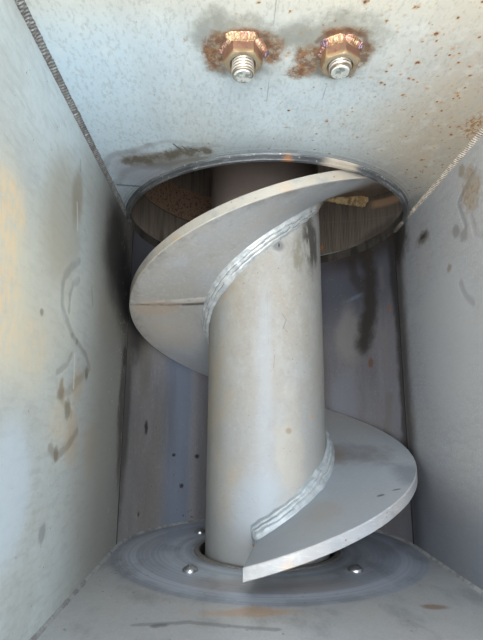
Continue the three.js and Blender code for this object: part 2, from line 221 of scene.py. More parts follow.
class Finish:
    """One procedural finish, built up node by node."""

    def __init__(self, name, tone):
        self.material = bpy.data.materials.new(name)
        self.material.use_nodes = True
        self.tree = self.material.node_tree
        self.shader = self.tree.nodes["Principled BSDF"]
        self.place = self.tree.nodes.new("ShaderNodeTexCoord").outputs["Object"]
        self.x, self.y, self.z = self.node("ShaderNodeSeparateXYZ", Vector=self.place).outputs[:3]
        self.up = self.calc("SUBTRACT", self.z, axis_z)
        square = self.calc("ADD", self.times(self.x, self.x), self.times(self.up, self.up))
        self.radius = self.calc("SQRT", square)
        self.colour = shade(*tone)
        self.bumps = []
        self.patterns = {}

    def feed(self, socket, value):
        if isinstance(value, bpy.types.NodeSocket):
            self.tree.links.new(value, socket)
        else:
            socket.default_value = value

    def node(self, kind, **inputs):
        made = self.tree.nodes.new(kind)
        for key, value in inputs.items():
            self.feed(made.inputs[key], value)
        return made

    def calc(self, operation, first, second=0.0, kind="ShaderNodeMath", output=0):
        made = self.tree.nodes.new(kind)
        made.operation = operation
        self.feed(made.inputs[0], first)
        self.feed(made.inputs[1], second)
        return made.outputs[output]

    def times(self, first, second):
        return self.calc("MULTIPLY", first, second)

    def vector(self, operation, first, second=(0, 0, 0), output=0):
        """The same for places and directions. LENGTH and DOT_PRODUCT give their number by name."""
        return self.calc(operation, first, second, "ShaderNodeVectorMath", output)

    def noise(self, scale, detail=4.0, rough=0.55, stretch=(1, 1, 1)):
        """A cloudy pattern. One that is asked for twice is made once, which keeps renders fast."""
        kind = (scale, detail, rough, stretch)
        if kind not in self.patterns:
            vector = self.node("ShaderNodeMapping", Vector=self.place, Scale=stretch).outputs[0]
            cloud = self.node("ShaderNodeTexNoise", Vector=vector, Scale=scale, Detail=detail,
                              Roughness=rough)
            self.patterns[kind] = cloud.outputs[0]
        return self.patterns[kind]

    def fade(self, value, low, high):
        """Rises smoothly from 0 at low to 1 at high."""
        made = self.tree.nodes.new("ShaderNodeMapRange")
        made.interpolation_type = "SMOOTHSTEP"
        for socket, number in zip(made.inputs[:3], (value, low, high)):
            self.feed(socket, number)
        return made.outputs[0]

    def patches(self, scale, low, high, stretch=(1, 1, 1), detail=4.0):
        """Ragged patches: the higher part of a noise."""
        return self.fade(self.noise(scale, detail, 0.6, stretch), low, high)

    def dots(self, scale, size, crowd):
        """Round dots of a size given as a share of their spacing, where crowd lets them be.

        The dots of a finish crowd in the same places, as rust does. One cloud serves them all."""
        if scale not in self.patterns:
            cells = self.node("ShaderNodeTexVoronoi", Vector=self.place, Scale=scale)
            self.patterns[scale] = cells.outputs["Distance"]
        spread = self.calc("ADD", self.noise(140, 4.0, 0.6), self.times(crowd, 0.25))
        shown = self.fade(spread, 0.62, 0.72)
        return self.times(self.fade(self.patterns[scale], size, size / 2), shown)

    def wobbled(self, distance, amount, scale):
        """A distance that wanders a little, for a ragged edge."""
        if not amount:
            return distance
        wobble = self.calc("SUBTRACT", self.noise(scale, 5.0, 0.65), 0.5)
        return self.calc("ADD", distance, self.times(wobble, amount))

    def near(self, centre, reach, ragged=0.0, scale=40):
        """1 at a place and 0 past its reach, both in millimetres, with a ragged edge."""
        reach = Vector(reach) * MM
        moved = self.vector("SUBTRACT", self.place, spot(*centre))
        distance = self.vector("LENGTH", self.vector("DIVIDE", moved, reach), output="Value")
        return self.fade(self.wobbled(distance, ragged, scale), 1.0, 0.4)

    def stroke(self, places, wide, ragged=0.0, scale=90):
        """1 along a bent line through places in millimetres, and 0 past its half width."""
        nearest = 1.0
        for here, ahead in zip(places, places[1:]):
            reach = spot(*ahead) - spot(*here)
            moved = self.vector("SUBTRACT", self.place, spot(*here))
            share = self.vector("DOT_PRODUCT", moved, reach / reach.length_squared, "Value")
            held = self.node("ShaderNodeClamp", Value=share).outputs[0]
            foot = self.tree.nodes.new("ShaderNodeVectorMath")
            foot.operation = "SCALE"
            self.feed(foot.inputs["Vector"], reach)
            self.feed(foot.inputs["Scale"], held)
            apart = self.vector("SUBTRACT", moved, foot.outputs[0])
            nearest = self.calc("MINIMUM", nearest, self.vector("LENGTH", apart, output="Value"))
        nearest = self.wobbled(nearest, ragged * wide * MM, scale)
        return self.fade(nearest, wide * MM, wide * 0.25 * MM)

    def draw(self, marks, ragged=0.5, spread=1.0):
        """Lays strokes, each given as its places, half width, tone and strength, or spreads them."""
        for places, wide, tone, strength in marks:
            self.coat(self.stroke(places, wide * spread, ragged), tone, strength / spread)

    def ring(self, inner, outer, soft=1.0):
        """1 between two distances in millimetres from the auger's axis."""
        rise = self.fade(self.radius, (inner - soft) * MM, (inner + soft) * MM)
        return self.times(rise, self.fade(self.radius, (outer + soft) * MM, (outer - soft) * MM))

    def coat(self, amount, tone, strength=1.0):
        """Lays a tone over the colour so far, as far as an amount from 0 to 1 lets it."""
        made = self.tree.nodes.new("ShaderNodeMix")
        made.data_type = "RGBA"
        self.feed(made.inputs[0], self.times(amount, strength))
        self.feed(made.inputs[6], self.colour)
        self.feed(made.inputs[7], shade(*tone))
        self.colour = made.outputs[2]

    def blotch(self, scale, low, high, tone, strength=1.0, stretch=(1, 1, 1), detail=4.0):
        """Lays a tone in ragged patches all over."""
        self.coat(self.patches(scale, low, high, stretch, detail), tone, strength)

    def stain(self, centre, reach, tone, strength, ragged=0.8, scale=40):
        """Lays a tone at one place."""
        self.coat(self.near(centre, reach, ragged, scale), tone, strength)

    def done(self, roughness, metallic):
        """Feeds the shader and stacks the bumps, each a height with its depth in millimetres."""
        self.feed(self.shader.inputs["Base Color"], self.colour)
        self.feed(self.shader.inputs["Roughness"], roughness)
        self.feed(self.shader.inputs["Metallic"], metallic)
        for height, depth in self.bumps:
            bump = self.node("ShaderNodeBump", Height=height)
            bump.inputs["Distance"].default_value = depth * MM
            normal = self.shader.inputs["Normal"]
            if normal.is_linked:
                self.feed(bump.inputs["Normal"], normal.links[0].from_socket)
            self.feed(normal, bump.outputs["Normal"])
        return self.material


# %% [markdown]
# The floor is no part of the press. It only needs to be plain and pale, so its finish has
# nothing but a slight change of tone.

# %% Floor finish
paint = Finish("pale_floor", (205, 205, 203))
paint.coat(paint.noise(1.5), (214, 214, 212))
floor.data.materials.append(paint.done(0.8, 0.0))

# %% [markdown]
# ## Stainless plate
# Every flat sheet starts from the same pickled stainless: a light grey with clouds of a second
# tone, a fine mottle, and a tooth that breaks the reflections. A function makes this ground
# coat, and each sheet then adds its own history on top of it.


# %% The ground coat of all stainless sheet
def stainless(name, cool, warm, grain=(1, 1, 1), dark=0.1):
    """A finish with its ground coat and fine bumps, ready for more layers."""
    steel = Finish(name, cool)
    steel.blotch(5.0, 0.36, 0.64, warm)
    mottle = steel.noise(160, 6.0, 0.72)
    steel.coat(steel.fade(mottle, 0.42, 0.7), (96, 98, 98), dark)
    speckle = steel.noise(650, 2.0, 0.5, grain)
    steel.coat(steel.fade(speckle, 0.52, 0.75), (236, 238, 236), 0.16)
    steel.bumps = [(mottle, 0.1), (speckle, 0.05)]
    return steel


def dull(steel, low=0.44, spread=0.14):
    """Roughness that wanders in patches."""
    return steel.calc("ADD", low, steel.times(steel.noise(22, 5.0, 0.6), spread))


# %% [markdown]
# ## Far end plate
# This plate shows most of its history, so its finish is built in layers, one function for each.
# The sky tints it bluish on the left as a painted reflection and creamy on the right, and painted
# light makes it paler and creamier at the top. Specks of foreign rust lie thicker towards the
# right, and the plate darkens and shows brush strokes towards the hole.

# %% Far end plate: ground, specks and brush strokes
nut_places = []
for side in ("left", "right"):
    low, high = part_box(f"weld_nut_{side}")
    centre = (low + high) / 2
    nut_places.append((centre.x / MM, (centre.z - axis_z) / MM))


def tint_far_plate(steel):
    """Bluish painted sky reflection on the left, creamy on the right, painted light at the top, inside only.
    """
    inside = steel.times(steel.fade(steel.y, far_outer, far_face),
                         steel.fade(steel.x, half_width + 6 * MM, half_width))
    steel.coat(steel.times(inside, steel.fade(steel.x, 0.02, 0.13)), (162, 150, 130), 0.85)
    # painted sky reflection: bluish on the left
    steel.coat(steel.times(inside, steel.fade(steel.x, -0.05, -0.14)), (184, 210, 226), 0.5)
    # painted light: paler and creamier at the top
    steel.coat(steel.times(inside, steel.fade(steel.up, 0.27, 0.33)), (196, 188, 166), 0.75)
    steel.blotch(90, 0.5, 0.7, (212, 218, 216), 0.2)
    steel.blotch(24, 0.5, 0.72, (150, 158, 160), 0.2, (1, 1, 0.4))


def speckle_far_plate(steel):
    """A fine grain, rust specks in three sizes, and a rusty patch beside the seam."""
    to_right = steel.fade(steel.calc("ADD", steel.x, steel.times(steel.up, 0.3)), -0.02, 0.18)
    grain = steel.noise(520, 3.0, 0.6, (1, 1, 0.5))
    steel.coat(steel.fade(grain, 0.5, 0.66), (128, 134, 132), 0.28)
    crowd = steel.calc("ADD", 0.0, steel.times(to_right, 0.5))
    for scale, size in ((230, 0.3), (120, 0.22), (75, 0.17)):
        steel.coat(steel.dots(scale, size * 1.4, crowd), (176, 142, 96), 0.6)
        steel.coat(steel.dots(scale, size * 0.8, crowd), (96, 54, 28), 0.95)
    beside_seam = steel.near((149, 0, 205), (16, 20, 22), 1.0, 120)
    steel.coat(steel.times(beside_seam, steel.patches(300, 0.48, 0.56)), (140, 96, 44), 0.9)


def rub_round_opening(steel):
    """Darker towards the opening, with strokes that run round it."""
    steel.coat(steel.fade(steel.radius, 0.2, 0.16), (112, 122, 130), 0.42)
    brushed = steel.noise(30, 4.0, 0.6)
    swirl = steel.node("ShaderNodeCombineXYZ", X=steel.radius, Y=steel.times(brushed, 0.006)).outputs[0]
    strokes = steel.node("ShaderNodeTexNoise", Vector=swirl, Scale=300, Detail=3.0).outputs[0]
    near_hole = steel.fade(steel.radius, 0.176, 0.16)
    steel.coat(steel.times(near_hole, steel.fade(strokes, 0.42, 0.62)), (74, 80, 84), 0.7)

# %% [markdown]
# Two plain steel nuts were welded on. The heat sooted the plate above them, and water carried
# their rust outwards, so it lies in ragged halos with darker grit and a few bright specks. Each
# halo is several stains that overlap, because one round stain would look sprayed on.


# %% Far end plate: marks of the weld nuts
def soot_and_rust(steel):
    """Soot, rust halos, bright specks and burnt edges round the two nuts."""
    for across, above in nut_places:
        steel.stain((across - 3, 0, above + 9), (40, 30, 24), (132, 134, 124), 0.8, 1.7, 50)
        steel.stain((across - 2, 0, above - 16), (24, 30, 13), (104, 104, 98), 0.8, 1.2, 80)
    steel.stain((-3, 0, 290), (14, 30, 13), (134, 136, 128), 0.75, 0.9, 70)
    steel.stain((-57, 0, 285), (9, 30, 14), (140, 146, 144), 0.6, 0.8, 70)
    grit = steel.patches(330, 0.42, 0.58)
    rusty = steel.noise(150, 5.0, 0.7)
    for centre, reach in (
            ((-50, 0, 273), (11, 9, 20)), ((-16, 0, 276), (10, 9, 17)), ((8, 0, 269), (13, 9, 17)),
            ((1, 0, 258), (9, 9, 8)), ((41, 0, 274), (8, 9, 14)), ((-33, 0, 287), (18, 9, 7)),
            ((26, 0, 290), (17, 9, 7))):
        halo = steel.near(centre, reach, 1.1, 120)
        steel.coat(halo, (142, 126, 102), 0.75)
        steel.coat(steel.times(halo, steel.fade(rusty, 0.44, 0.56)), (132, 94, 62), 0.8)
        steel.coat(steel.times(halo, grit), (92, 62, 48), 0.65)
    sparks = steel.times(steel.near((-5, 0, 274), (54, 9, 22), 0.8), steel.dots(230, 0.3, 0.5))
    steel.coat(sparks, (190, 130, 66), 0.8)
    for arc_places in (((-46, 281), (-43, 288), (-32, 290), (-21, 287), (-18, 280)),
                       ((11, 284), (16, 290), (27, 293), (38, 289), (42, 280))):
        steel.coat(steel.stroke([(across, 0, above) for across, above in arc_places], 2.8, 1.0, 200),
                   (92, 66, 50), 0.65)

# %% [markdown]
# At the upper left of the opening dirt has dried in a smear, with a dark ragged core and lighter
# edges where it was wiped. The scratches are short strokes, and the opening's own edge has a
# brown film, with a worn lip below that carries a painted highlight, as if lit from above.


# %% Far end plate: dirt, scratches and bore
def smear_dirt(steel):
    """A smear of dried dirt: a haze, a ragged core and wiped edges."""
    steel.stain((-120, 0, 132), (44, 20, 40), (146, 150, 160), 0.7, 0.9, 26)
    steel.stain((-100, 0, 146), (52, 20, 20), (132, 130, 124), 0.7, 1.2, 40)
    ragged = steel.patches(150, 0.4, 0.52, (1, 1, 0.5))
    core = steel.stroke(
        [(-130, 0, 145), (-111, 0, 147), (-94, 0, 155), (-81, 0, 160), (-62, 0, 161)], 10, 1.6)
    steel.coat(steel.times(core, ragged), (84, 80, 68), 0.85)
    steel.coat(core, (104, 100, 88), 0.5)
    steel.coat(steel.times(core, steel.patches(320, 0.6, 0.66)), (170, 140, 96), 0.8)
    low_smear = steel.stroke([(-113, 0, 138), (-95, 0, 140), (-76, 0, 149), (-62, 0, 152)], 5, 1.6)
    steel.coat(low_smear, (112, 110, 104), 0.6)
    steel.draw((
        ([(-158, 0, 112), (-155, 0, 135), (-146, 0, 150), (-137, 0, 156), (-123, 0, 161), (-108, 0, 170)],
         2.4, (108, 110, 114), 0.8),
        ([(-110, 0, 170), (-93, 0, 176), (-74, 0, 173), (-50, 0, 170)], 1.8, (120, 120, 120), 0.6),
        ([(-150, 0, 104), (-136, 0, 128), (-116, 0, 135), (-98, 0, 134)], 3.0, (110, 112, 116), 0.7)),
        1.6, 2.2)


def scratch_far_plate(steel):
    """Short dark strokes, and three thin lines that run down."""
    steel.draw((
        ([(-150, 0, 100), (-124, 0, 97)], 2.6, (70, 72, 76), 0.7),
        ([(-156, 0, 100), (-154, 0, 78), (-155, 0, 57)], 2.0, (40, 42, 44), 0.9),
        ([(-88, 0, 172), (-83, 0, 164)], 1.2, (84, 88, 86), 0.9),
        ([(-81, 0, 169), (-77, 0, 163)], 1.0, (92, 96, 94), 0.9),
        ([(-74, 0, 166), (-67, 0, 161)], 1.2, (84, 88, 86), 0.9),
        ([(-56, 0, 280), (-53, 0, 296)], 0.8, (150, 152, 146), 0.5)), 0.9)
    for across, above, length in ((-16.4, 310, 24), (-15.3, 238, 18), (24, 238, 12)):
        steel.stain((across, 0, above), (0.5, 20, length), (110, 112, 110), 0.5, 0.3)


def stain_bore(steel):
    """A brown film inside the opening, and a painted highlight on the worn lower half of its edge."""
    bore = steel.fade(steel.radius, 157.9 * MM, 157.4 * MM)
    steel.coat(bore, (84, 80, 74), 0.95)
    steel.coat(steel.times(bore, steel.patches(60, 0.44, 0.58, (1, 0.3, 1))), (52, 48, 44), 0.7)
    steel.coat(steel.times(bore, steel.dots(230, 0.3, 0.55)), (142, 96, 58), 0.85)
    # painted highlight: the worn lower lip, as lit from above
    lip = steel.times(steel.ring(157.5, 158.4, 0.25), steel.fade(steel.up, -0.01, -0.04))
    steel.coat(steel.times(lip, steel.patches(34, 0.42, 0.54)), (170, 174, 176), 0.9)
    steel.stain((150, 0, 60), (12, 20, 46), (106, 108, 106), 0.6, 0.9, 60)


# %% Far end plate finish
far_finish = stainless("far_plate_steel", (187, 202, 208), (190, 194, 188))
for layer in (tint_far_plate, speckle_far_plate, rub_round_opening, soot_and_rust, smear_dirt,
              scratch_far_plate, stain_bore):
    layer(far_finish)
far_steel = far_finish.done(dull(far_finish), 0.4)
print("far plate finish has", len(far_steel.node_tree.nodes), "nodes")

# %% [markdown]
# ## Near end plate
# The first flight and the wet material turn against this plate, so they polish rings into it:
# a dark ring out to the tip of the flight, lighter bands closer in, and fine circular scratches.
# The distance from the auger's axis drives all of them.


# %% Near end plate finish
def near_plate_finish():
    steel = stainless("near_plate_steel", (167, 173, 178), (173, 173, 172))
    inside = steel.fade(steel.y, near_outer, near_face)
    worn = steel.times(inside, steel.fade(steel.radius, 0.162, 0.15))
    steel.coat(worn, (158, 168, 184), 0.85)
    rings = steel.node("ShaderNodeCombineXYZ", X=steel.radius, Y=steel.times(steel.noise(6.0), 0.003))
    fine = steel.node("ShaderNodeTexNoise", Vector=rings.outputs[0], Scale=420, Detail=5.0).outputs[0]
    steel.coat(steel.times(worn, steel.fade(fine, 0.38, 0.62)), (202, 212, 222), 0.35)
    steel.coat(steel.times(worn, steel.fade(steel.x, 0.06, 0.11)), (182, 198, 222), 0.3)
    arcs = steel.patches(26, 0.44, 0.6)
    for inner, outer, tone, strength in (
            (143, 157, (100, 106, 114), 0.42), (112, 130, (122, 128, 138), 0.3),
            (96, 106, (196, 206, 212), 0.7), (84, 87, (206, 212, 216), 0.5),
            (75, 79, (96, 94, 92), 0.7)):
        band = steel.times(inside, steel.ring(inner, outer, 3.0))
        steel.coat(steel.times(band, steel.calc("ADD", 0.45, steel.times(arcs, 0.55))), tone, strength)
    steel.blotch(30, 0.5, 0.7, (92, 96, 102), 0.35, (1, 1, 0.5))
    steel.stain((-28, -352, 166), (44, 20, 11), (176, 140, 106), 0.55, 1.8, 34)
    steel.draw((
        ([(-100, -352, 186), (-64, -352, 182), (-41, -352, 188), (-8, -352, 194)], 4, (98, 102, 106), 0.5),
        ([(-86, -352, 188), (-80, -352, 186)], 4, (84, 86, 88), 0.6)), 1.4)
    steel.stain((-10, -352, 110), (90, 20, 26), (170, 152, 130), 0.35, 1.0, 30)
    steel.stain((108, -352, 158), (14, 20, 7), (130, 100, 76), 0.7, 1.1, 60)
    steel.coat(steel.dots(160, 0.2, 0.3), (96, 80, 66), 0.7)
    steel.bumps.append((fine, 0.03))
    return steel.done(dull(steel, 0.36), 0.45)


near_steel = near_plate_finish()

# %% [markdown]
# ## Side walls
# The left wall faces the light and the right one is in shade. Both have smudges of brown,
# shallow dents where something hit them, and dark patches low down, and painted shade darkens the
# left one downwards. It is blackest on the left, where the flight passes closest.


# %% What both walls share
def wall_finish(name, side, cool, warm):
    """A side wall, and its inner face's place across in millimetres."""
    steel = stainless(name, cool, warm)
    woven = steel.noise(210, 3.0, 0.6, (1, 1, 0.25))
    steel.coat(steel.fade(woven, 0.46, 0.66), (120, 124, 124), 0.16)
    steel.blotch(14, 0.5, 0.74, (150, 146, 134), 0.25)
    steel.coat(steel.dots(260, 0.2, 0.25), (110, 80, 56), 0.7)
    return steel, side * half_width / MM


def on_wall(inner, *places):
    """Places on a wall's inner face, each given as its place along the auger and its height."""
    return [(inner, along, above) for along, above in places]


def sink(steel, marks, depth):
    """One shallow hollow under a group of dents, wider than the marks that show them."""
    hollows = 0.0
    for places, wide, *_ in marks:
        hollows = steel.calc("MAXIMUM", hollows, steel.stroke(places, wide * 2.6, 0.8))
    steel.bumps.append((hollows, depth))


# %% [markdown]
# The left wall has the most marks. Its upper part carries a painted warm reflection, cream and
# orange, with a pale bluish one towards the drive end, and painted shade darkens it downwards to
# black patches low down. Places are given along the wall and above the auger's axis, so that
# they can be read off like a drawing.


# %% Left wall: light and grease
def warm_left_wall(steel, inner):
    """Painted warm reflection, cream and orange, up high, a bluish one towards the drive end, brown stains.
    """
    diagonal = steel.patches(190, 0.3, 0.66, (1, 0.6, 1.3), 6.0)
    for along, above, reach, strength in (
            (-115, 292, (26, 26), 0.6), (-158, 284, (44, 26), 0.6),
            (-180, 250, (26, 34), 0.4), (-222, 186, (26, 34), 0.3)):
        # painted reflection: warm cream and orange patches on the upper part
        warmed = steel.near((inner, along, above), (60, *reach), 1.5, 22)
        steel.coat(steel.near((inner, along, above), (60, reach[0] * 1.6, reach[1] * 1.4), 1.0, 12),
                   (230, 224, 200), strength * 0.6)
        steel.coat(steel.times(warmed, diagonal), (252, 214, 156), strength * 0.9)
    steel.stain((inner, -150, 235), (60, 90, 80), (214, 212, 192), 0.4, 1.0, 14)
    # painted reflection: pale bluish towards the drive end
    steel.stain((inner, -260, 262), (60, 50, 40), (204, 222, 236), 0.6, 0.6, 12)
    steel.stain((inner, -85, 215), (40, 70, 50), (168, 164, 148), 0.6, 0.9, 16)
    for along, above, reach in (
            (-236, 160, (26, 24)), (-248, 110, (30, 26)), (-126, 98, (22, 12)), (-196, 156, (20, 16))):
        steel.stain((inner, along, above), (40, *reach), (196, 170, 134), 0.5, 1.5, 26)


def grease_left_wall(steel, inner):
    """Painted shade, darker downwards and towards the far plate; black low down, scraped bright in places.
    """
    # painted shade: darker downwards
    steel.coat(steel.fade(steel.up, 0.22, 0.07), (142, 142, 136), 0.85)
    # painted shade: darker still low down towards the far plate
    low_and_far = steel.times(steel.fade(steel.up, 0.16, 0.05),
                              steel.fade(steel.y, far_face - 0.2, far_face - 0.1))
    steel.coat(low_and_far, (92, 92, 88), 0.7)
    steel.stain((inner, -58, 190), (20, 30, 16), (140, 130, 110), 0.55, 0.9, 40)
    for along, above, reach, strength in (
            (-52, 62, (66, 66), 0.8), (-84, 22, (62, 62), 0.85), (-96, -6, (46, 40), 0.8)):
        steel.stain((inner, along, above), (40, *reach), (48, 47, 47), strength, 0.8, 30)
    steel.stain((inner, -205, 0), (20, 100, 24), (78, 77, 72), 0.85, 1.2, 40)
    steel.stain((inner, -154, -2), (20, 16, 14), (40, 40, 40), 0.85, 1.2, 60)
    scrapes = steel.patches(240, 0.6, 0.68, (1, 0.5, 0.5))
    low_down = steel.fade(steel.up, 0.08, 0.02)
    steel.coat(steel.times(scrapes, low_down), (176, 172, 158), 0.6)

# %% [markdown]
# Its dents wander across the middle. Each shows as a dark line of painted shade with a bright line
# of painted highlight beside it, and one shallow bump under the whole group bends the light round
# the lines.


# %% Left wall: spots and dents
def dent_left_wall(steel, inner):
    """Brown spots, dents in painted shade and painted highlight, scratches and pale flakes low down."""
    for along, above, reach, tone in (
            (-186, 136, (8, 6), (84, 76, 62)), (-203, 190, (9, 8), (150, 128, 98)),
            (-157, 237, (3, 4), (116, 104, 90)), (-214, 176, (9, 8), (122, 116, 100)),
            (-293, 206, (8, 8), (130, 134, 136)), (-165, 166, (5, 4), (104, 104, 100)),
            (-246, 192, (7, 6), (120, 104, 82))):
        steel.stain((inner, along, above), (9, *reach), tone, 0.6, 2.0, 60)
    # painted shade, with some brown dirt, in dark lines along the dents' edges
    dents = (
        (on_wall(inner, (-161, 178), (-157, 183), (-150, 197), (-145, 203), (-134, 205), (-125, 203),
                 (-114, 192), (-103, 174)), 2.2, (112, 118, 122), 0.75),
        (on_wall(inner, (-145, 188), (-134, 189), (-125, 184), (-117, 171)), 1.8, (116, 120, 122), 0.7),
        (on_wall(inner, (-161, 178), (-165, 163), (-171, 141), (-180, 128), (-188, 137)),
         1.8, (112, 106, 92), 0.75),
        (on_wall(inner, (-176, 175), (-184, 183), (-191, 202)), 1.6, (122, 120, 112), 0.6),
        (on_wall(inner, (-205, 196), (-204, 179), (-192, 153), (-184, 134)), 3.0, (122, 112, 90), 0.6),
        (on_wall(inner, (-206, 196), (-212, 182), (-219, 167)), 2.4, (126, 118, 98), 0.6),
        (on_wall(inner, (-241, 204), (-247, 191), (-242, 170), (-232, 150)), 2.4, (108, 94, 70), 0.8))
    scratches = (
        (on_wall(inner, (-114, 139), (-127, 132)), 1.2, (98, 100, 98), 0.8),
        (on_wall(inner, (-27, 190), (-34, 188)), 1.0, (110, 112, 112), 0.7))
    steel.draw(dents + scratches, 1.1, 2.0)
    sink(steel, dents, -0.28)
    # painted highlights: bright lines beside the dents
    steel.draw((
        (on_wall(inner, (-62, 190), (-81, 184)), 1.2, (228, 236, 238), 0.75),
        (on_wall(inner, (-175, 169), (-199, 166)), 1.6, (222, 222, 210), 0.8),
        (on_wall(inner, (-153, 197), (-147, 207), (-134, 209)), 1.8, (206, 216, 218), 0.6)), 0.8, 1.5)
    flakes = steel.times(steel.near((inner, -180, 30), (20, 70, 50), 0.8), steel.dots(120, 0.16, 0.8))
    steel.coat(flakes, (214, 206, 182), 0.85)


left_finish, left_inner = wall_finish("left_wall_steel", -1, (196, 208, 211), (190, 197, 196))
for layer in (warm_left_wall, grease_left_wall, dent_left_wall):
    layer(left_finish, left_inner)
left_steel = left_finish.done(dull(left_finish), 0.35)
print("left wall finish has", len(left_steel.node_tree.nodes), "nodes")


# %% [markdown]
# The right wall gets no direct light. It is greyer, its tones a darker, shaded copy of the left
# wall's as painted shade, with three creases near the far plate drawn in painted shade, a paler
# patch of painted light in the middle, a rusty smudge and a dark edge along the trough, and
# painted shade turns it darker and bluish towards the drive end.


# %% Right wall finish
def right_wall_finish():
    # painted shade: base tones darker than the left wall's
    steel, inner = wall_finish("right_wall_steel", 1, (150, 154, 160), (157, 158, 158))
    # painted light: a paler patch in the middle of the wall
    steel.stain((inner, -150, 110), (60, 90, 80), (166, 168, 170), 0.6, 0.6, 10)
    ragged_edge = steel.calc("ADD", steel.up, steel.times(steel.noise(40, 5.0, 0.65), -0.02))
    steel.coat(steel.fade(ragged_edge, 0.016, -0.012), (64, 60, 57), 0.85)
    steel.stain((inner, -16, 6), (10, 34, 38), (46, 42, 38), 0.9, 1.0, 50)
    for along, above, reach, tone in (
            (-39, 72, (11, 24), (112, 110, 106)), (-60, 141, (8, 9), (118, 116, 112)),
            (-68, 155, (8, 8), (122, 120, 116)), (-12, 159, (7, 8), (124, 112, 92)),
            (-88, 124, (5, 6), (124, 112, 90)), (-36, 172, (24, 18), (138, 126, 106)),
            (-112, 60, (14, 60), (160, 162, 164))):
        steel.stain((inner, along, above), (9, *reach), tone, 0.7, 2.0, 70)
    specks = steel.times(steel.near((inner, -36, 172), (9, 28, 24), 0.9), steel.patches(260, 0.5, 0.58))
    steel.coat(specks, (134, 110, 84), 0.6)
    steel.stain((inner, -38, 72), (9, 7, 15), (84, 80, 76), 0.7, 2.0, 110)
    steel.stain((inner, -38, 72), (9, 3, 11), (44, 41, 38), 0.8, 1.6, 140)
    # painted shade: dark lines in the creases
    creases = (
        (on_wall(inner, (-24, 182), (-29, 165), (-38, 149), (-51, 154), (-62, 158)),
         1.8, (96, 98, 98), 0.7),
        (on_wall(inner, (-108, 140), (-120, 147), (-129, 158)), 2.2, (110, 112, 114), 0.7),
        (on_wall(inner, (-58, 168), (-74, 172), (-84, 186)), 2.0, (118, 118, 116), 0.5))
    steel.draw(creases, 1.1, 1.9)
    sink(steel, creases, -0.25)
    # painted shade: darker and bluish towards the drive end
    steel.coat(steel.fade(steel.y, far_face - 0.24, far_face - 0.32), (96, 104, 116), 0.6)
    return steel.done(dull(steel), 0.4)


right_steel = right_wall_finish()

# %% Outer steel
frame_finish = stainless("frame_steel", (172, 181, 186), (178, 177, 171))
frame_finish.blotch(12, 0.5, 0.75, (126, 122, 114), 0.35)
frame_steel = frame_finish.done(dull(frame_finish), 0.55)
print("outer steel finish has", len(frame_steel.node_tree.nodes), "nodes")

# %% [markdown]
# ## Collar
# The sleeve that lines the opening stands a little proud of the plate. Its edge was ground, so
# its marks run round with it, dark with grease and bright where something rubs, and a painted
# highlight is laid on its edge below the auger's axis.

# %% Collar finish
collar_low, collar_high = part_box("inlet_collar")


def collar_finish():
    steel = stainless("collar_steel", (118, 122, 126), (134, 134, 132))
    rings = steel.node("ShaderNodeCombineXYZ", X=steel.radius, Y=steel.times(steel.noise(30), 0.004))
    brushed = steel.node("ShaderNodeTexNoise", Vector=rings.outputs[0], Scale=900, Detail=3.0)
    steel.coat(steel.fade(brushed.outputs[0], 0.35, 0.6), (62, 66, 70), 0.85)
    steel.blotch(26, 0.45, 0.6, (52, 54, 56), 0.6)
    steel.coat(steel.dots(260, 0.3, 0.6), (176, 176, 172), 0.5)
    steel.stain((56, 0, 148), (26, 20, 14), (186, 176, 160), 0.8, 0.7, 60)
    steel.stain((8, -3, 157), (7, 20, 5), (150, 104, 66), 0.7, 0.8, 90)
    inside = steel.times(steel.fade(steel.y, collar_low.y + 0.7 * MM, collar_low.y + 2.0 * MM),
                         steel.fade(steel.radius, 157.3 * MM, 156.3 * MM))
    steel.coat(inside, (86, 82, 77), 0.92)
    steel.coat(steel.times(inside, steel.dots(150, 0.25, 0.5)), (150, 100, 62), 0.8)
    # painted highlight on the edge below the auger's axis
    edge_lower = steel.times(steel.fade(steel.y, collar_low.y + 1.2 * MM, collar_low.y + 0.6 * MM),
                             steel.fade(steel.up, -0.02, -0.06))
    steel.coat(steel.times(edge_lower, steel.patches(50, 0.36, 0.5)), (150, 156, 160), 0.9)
    steel.bumps.append((brushed.outputs[0], 0.1))
    return steel.done(dull(steel, 0.34), 0.45)


collar_steel = collar_finish()

# %% [markdown]
# ## Trough
# The trough has been scoured by everything that slid along it. It is darker and bluer than the
# walls, and its grain runs along the auger. On the right lie long marks where wet material
# stood, each one a bent line with its own width, tone and strength.


# %% Trough: ground and long marks
def tint_trough(steel):
    """Bluish on the left and towards the far plate, painted shade by the tube, a grain along the auger."""
    on_left = steel.times(steel.fade(steel.x, -0.13, -0.115), steel.fade(steel.x, -0.084, -0.098))
    steel.coat(on_left, (116, 130, 154), 0.75)
    # painted shade: darker from beside the tube rightwards, under the auger
    steel.coat(steel.fade(steel.x, -0.09, -0.08), (118, 118, 128), 0.5)
    steel.blotch(12, 0.45, 0.66, (104, 102, 100), 0.4, (1, 0.3, 1))
    steel.blotch(80, 0.52, 0.7, (160, 162, 168), 0.16, (1, 0.12, 1))
    steel.coat(steel.fade(steel.y, far_face - 0.13, far_face - 0.05), (88, 92, 106), 0.75)


